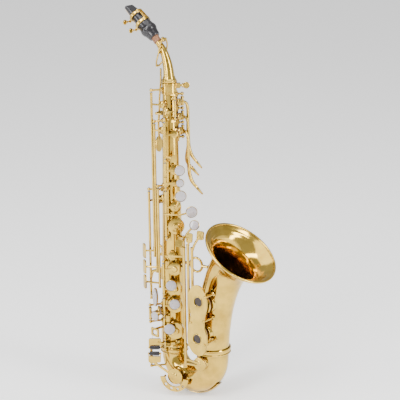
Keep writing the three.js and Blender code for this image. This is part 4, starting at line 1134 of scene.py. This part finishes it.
# ---- guards, brace, hook and strap ring
def bell_guard():
    """The long guard over the two bell keys: a pierced sheet on four feet, with felt bumpers in its holes."""
    outline = [
        (-3, -45), (8, -44), (15, -34), (16, -18), (12, -4), (13.5, 8), (17, 22), (15, 36),
        (6, 46), (-5, 44), (-11, 34), (-11, 20), (-8.5, 6), (-11, -6), (-14.5, -20), (-12, -36)]
    smooth_edge = [(p.x, p.y) for p in spline([xyz(x, y, 0) for x, y in outline], closed=True, steps=5)]
    centre = xyz(67, -37.6, 115)
    openings = ((1, -24), (3.5, 25))
    felts = Sketch()
    holes = [moved(ellipse(6, 6.5), x, z)[::-1] for x, z in openings]
    sheet = Sketch().plate(smooth_edge, 1.6, centre, -Y, holes=holes)
    for x, z in openings:
        place = centre + xyz(x, -1.5, z)
        sheet.ring(place, Y, 6.6, 0.6, 44)
        felts.lathe([(0, 0), (5.6, 0), (5.6, 1.4), (5.2, 1.8), (0, 1.8)], place + xyz(0, 2.2, 0), -Y, 40)
    for x, z in ((79.5, 86), (78.5, 116), (58.5, 111), (81.5, 148)):
        rise = z - BELL_JOINT_Z
        wall = math.sqrt((23 + 0.02 * rise) ** 2 - (x - 62.3 - 0.0017 * rise ** 2) ** 2)
        reach = 37.8 - wall
        foot = [(0, 0), (3.2, 0), (3.0, 0.9), (1.5, 1.8), (1.4, reach), (0, reach)]
        sheet.lathe(foot, xyz(x, -wall, z), -Y, 24)
        sheet.ball(xyz(x, -39.1, z), 1.7, Y)
    stand_in("low_b_guard", sheet, "key_lacquer", 0.3)
    make("guard_felts", felts, "felt", "body", bevel=0)


def low_c_guard():
    """A pierced half ring round the low C cup, on two feet."""
    outer, inner, middle = 19.5, 12.6, 16
    arc = [math.radians(183.6 + 172.8 * k / 30) for k in range(31)]
    outline = [(outer * math.cos(a), outer * math.sin(a)) for a in arc]
    outline += [(inner * math.cos(a), inner * math.sin(a)) for a in reversed(arc)]
    holes = []
    for degrees in (222, 254, 286, 318):
        angle = math.radians(degrees)
        holes.append(moved(ellipse(1.9, 1.9, 20), middle * math.cos(angle), middle * math.sin(angle))[::-1])
    normal = polar(LOW_C_HOLE["deg"], 1)
    centre = LOW_C_HOLE["centre"] + normal * 26.8
    guard = Sketch().plate(outline, 1.5, centre, normal, holes=holes)
    for degrees, depth in ((190, 7.2), (348, 3.2)):
        angle = math.radians(degrees)
        across = polar(LOW_C_HOLE["deg"] + 90, middle * math.cos(angle))
        start = centre + across + Z * middle * math.sin(angle)
        guard.rod(start + normal * 0.6, start - normal * depth, 1.4)
    stand_in("low_c_guard", guard, "key_lacquer", 0.25)


def bell_brace():
    z = 172
    brace = Sketch().ring(xyz(38, 0, z), Y, 9, 1.6, 64)
    inner = body_radius(z) + GAP
    for low, high, foot, along in ((inner, 29.4, inner, 1), (46.6, 58.8, 58.8, -1)):
        brace.rod(xyz(low, 0, z), xyz(high, 0, z), 1.8)
        brace.lathe([(0, 0), (4.4, 0), (4.2, 0.9), (2.4, 2.2), (0, 2.2)], xyz(foot, 0, z), X * along, 30)
    stand_in("bell_brace", brace, "lacquer", 0.2)


def thumb_hook():
    z = 152
    wall = -(body_radius(z) + GAP)
    hook = Sketch().plate(rounded_box(9, 18, 2), 2, xyz(wall - 0.2, 0, z), -X)
    bends = ((1, 0), (9, 1), (19, -2), (23, -12))
    hook.bent([xyz(wall - reach, 0, z + rise) for reach, rise in bends], 2)
    for rise in (-6.5, 6.5):
        hook.ball(xyz(wall - 2.2, 0, z + rise), 1.3, X)
    stand_in("thumb_hook", hook, "lacquer", 0.3)


def strap_ring():
    wall = -(body_radius(STRAP_RING.z) + GAP)
    ring = Sketch().ring(STRAP_RING.copy(), Y, 7, 1.5, 64)
    ring.plate(rounded_box(8, 14, 2), 1.8, xyz(wall - 0.2, 0, STRAP_RING.z), -X)
    ring.rod(xyz(wall - 1, 0, STRAP_RING.z), xyz(STRAP_RING.x + 7, 0, STRAP_RING.z), 2)
    stand_in("strap_ring", ring, "lacquer", 0.3)


def pinky_bracket():
    bracket = Sketch().plate(rounded_box(15, 11, 1.5), 1.6, xyz(-6, -30, 82), xyz(-0.2, -1, 0),
                             holes=[rounded_box(8, 6, 1)[::-1]])
    bracket.rod(xyz(-9, -29.6, 85), polar(-112, body_radius(85) + GAP, 85), 1.5)
    stand_in("pinky_bracket", bracket, "key_lacquer", 0.25)


def stack_rods():
    for name, stack, low, high in (("upper", UPPER, 203, 359), ("lower", LOWER, 69.5, 179)):
        rod = Sketch().upright(stack["hinge"], low, high, ROD_RADIUS, 20)
        stand_in(name + "_stack_rod", rod, "steel", 0.15)


def needle_springs():
    """A blued needle spring runs from each post beside its hinge tube."""
    springs = Sketch()
    for hinge, heights in POST_LINES:
        inward = -at(hinge, 0).normalized() * 2.7
        for low, high in zip(heights, heights[1:]):
            reach = min(16, 0.6 * (high - low))
            springs.rod(at(hinge + inward * 0.5, low), at(hinge + inward, low + reach), 0.3, 8)
    make("needle_springs", springs, "steel", "body", bevel=0)


# ---- studio
CAMERA_AZIMUTH = math.radians(38)
CAMERA_ELEVATION = math.radians(15)
CAMERA_TARGET = xyz(0.0516, 0.022, 0.0686)
CAMERA_DISTANCE = 1.837
CAMERA_LENS = 131.7
CAMERA_ROLL = math.radians(-0.85)
FLOOR_LEVEL = CAD_BOX[0][2] - 0.0002
FLOOR_HALF = 14
FLOOR_GLOW = 0.55
SKY_STRENGTH = 0.62
LAMP_TARGET = xyz(0.03, 0, 0.05)
# Each soft light: its direction and height in degrees, distance, width, height in metres, and power.
SOFTBOXES = {
    "key_light": (5, 35, 1.6, 0.4, 1.6, 30),
    "right_strip": (95, 20, 1.5, 0.3, 1.4, 22),
    "left_strip": (-35, 12, 1.6, 0.2, 1.4, 12),
    "top_light": (40, 80, 2.2, 2.0, 2.0, 36),
}


def away(azimuth, elevation):
    """The direction from the object to a camera or lamp; azimuth 0 is the finger side."""
    level = math.cos(elevation)
    return xyz(math.sin(azimuth) * level, -math.cos(azimuth) * level, math.sin(elevation))


def looking(place, target, roll=0.0):
    return ((target - place).to_track_quat("-Z", "Y") @ Quaternion(Z, roll)).to_euler()


def add_camera():
    lens = bpy.data.cameras.new("camera")
    lens.lens = CAMERA_LENS
    lens.sensor_width = 36
    camera = add_object("camera", lens)
    camera.location = CAMERA_TARGET + away(CAMERA_AZIMUTH, CAMERA_ELEVATION) * CAMERA_DISTANCE
    camera.rotation_euler = looking(camera.location, CAMERA_TARGET, CAMERA_ROLL)
    bpy.context.scene.camera = camera


def add_softbox(name, azimuth, elevation, distance, width, height, power):
    """A large soft light that stands at an angle round the object and faces it."""
    lamp = bpy.data.lights.new(name, "AREA")
    lamp.shape = "RECTANGLE"
    lamp.size, lamp.size_y = width, height
    lamp.energy = power
    made = add_object(name, lamp)
    made.location = away(math.radians(azimuth), math.radians(elevation)) * distance
    made.rotation_euler = looking(made.location, LAMP_TARGET)


def add_studio():
    world = bpy.data.worlds.new("studio")
    world.use_nodes = True
    set_inputs(world.node_tree.nodes["Background"], {"Color": (1, 1, 1, 1), "Strength": SKY_STRENGTH})
    bpy.context.scene.world = world
    for name, settings in SOFTBOXES.items():
        add_softbox(name, *settings)
    mesh = bpy.data.meshes.new("floor")
    corners = [(x * FLOOR_HALF, y * FLOOR_HALF, FLOOR_LEVEL) for x, y in ((-1, -1), (1, -1), (1, 1), (-1, 1))]
    mesh.from_pydata(corners, [], [(0, 1, 2, 3)])
    floor = add_object("floor", mesh)
    look = Look("floor", (0.93, 0.93, 0.93), 0.9)
    set_inputs(look.shader, {"Emission Color": (1, 1, 1, 1), "Emission Strength": FLOOR_GLOW})
    mesh.materials.append(look.material)


# ---- putting it together
body_tube()
body_fittings()
receiver()
tube_ring("body_bow_ring", 0, 50, 57.5, 16.0, 17.0)
tube_ring("bow_bell_ring", 62.4, 62, 70, 21.4, 22.2)
neck()
neck_cork()
neck_octave_key()
mouthpiece()
reed()
ligature()
neck_screw()
bow()
bow_guard()
bell()
for spec in UPPER_KEYS:
    stack_key(spec, UPPER)
for spec in LOWER_KEYS:
    stack_key(spec, LOWER)
front_f_key()
f_sharp_aux_key()
g_sharp_key()
bell_key("low_b_key", BELL_HINGES["b"], LOW_B_HOLE, 124.1, 203, (60.5, -20, 219, 10, 11), -8)
bell_key("low_bb_key", BELL_HINGES["bb"], LOW_BB_HOLE, 78.1, 206, (47, -25, 214.5, 9, 12), -8)
bell_key("csharp_key", BELL_HINGES["csharp"], CSHARP_HOLE, 44, 202, (34, -29.5, 206, 10, 9))
palm_key("palm_f_key", 36.5, -7.6, 291)
palm_key("palm_d_key", 32.5, -2, 283)
palm_key("palm_eb_key", 37, 3.6, 260)
side_key("side_e_key", SIDE_HINGES["e"], 178, 388.4, 186, 19)
side_key("side_c_key", SIDE_HINGES["c"], 158, 350, 165, 18)
side_key("side_bb_key", SIDE_HINGES["bb"], 139, 268.4, 145, 18)
high_f_sharp_key()
trill_key()
e_flat_key()
low_c_key()
octave_keys()
bell_guard()
low_c_guard()
bell_brace()
thumb_hook()
strap_ring()
pinky_bracket()
stack_rods()
needle_springs()
add_camera()
add_studio()
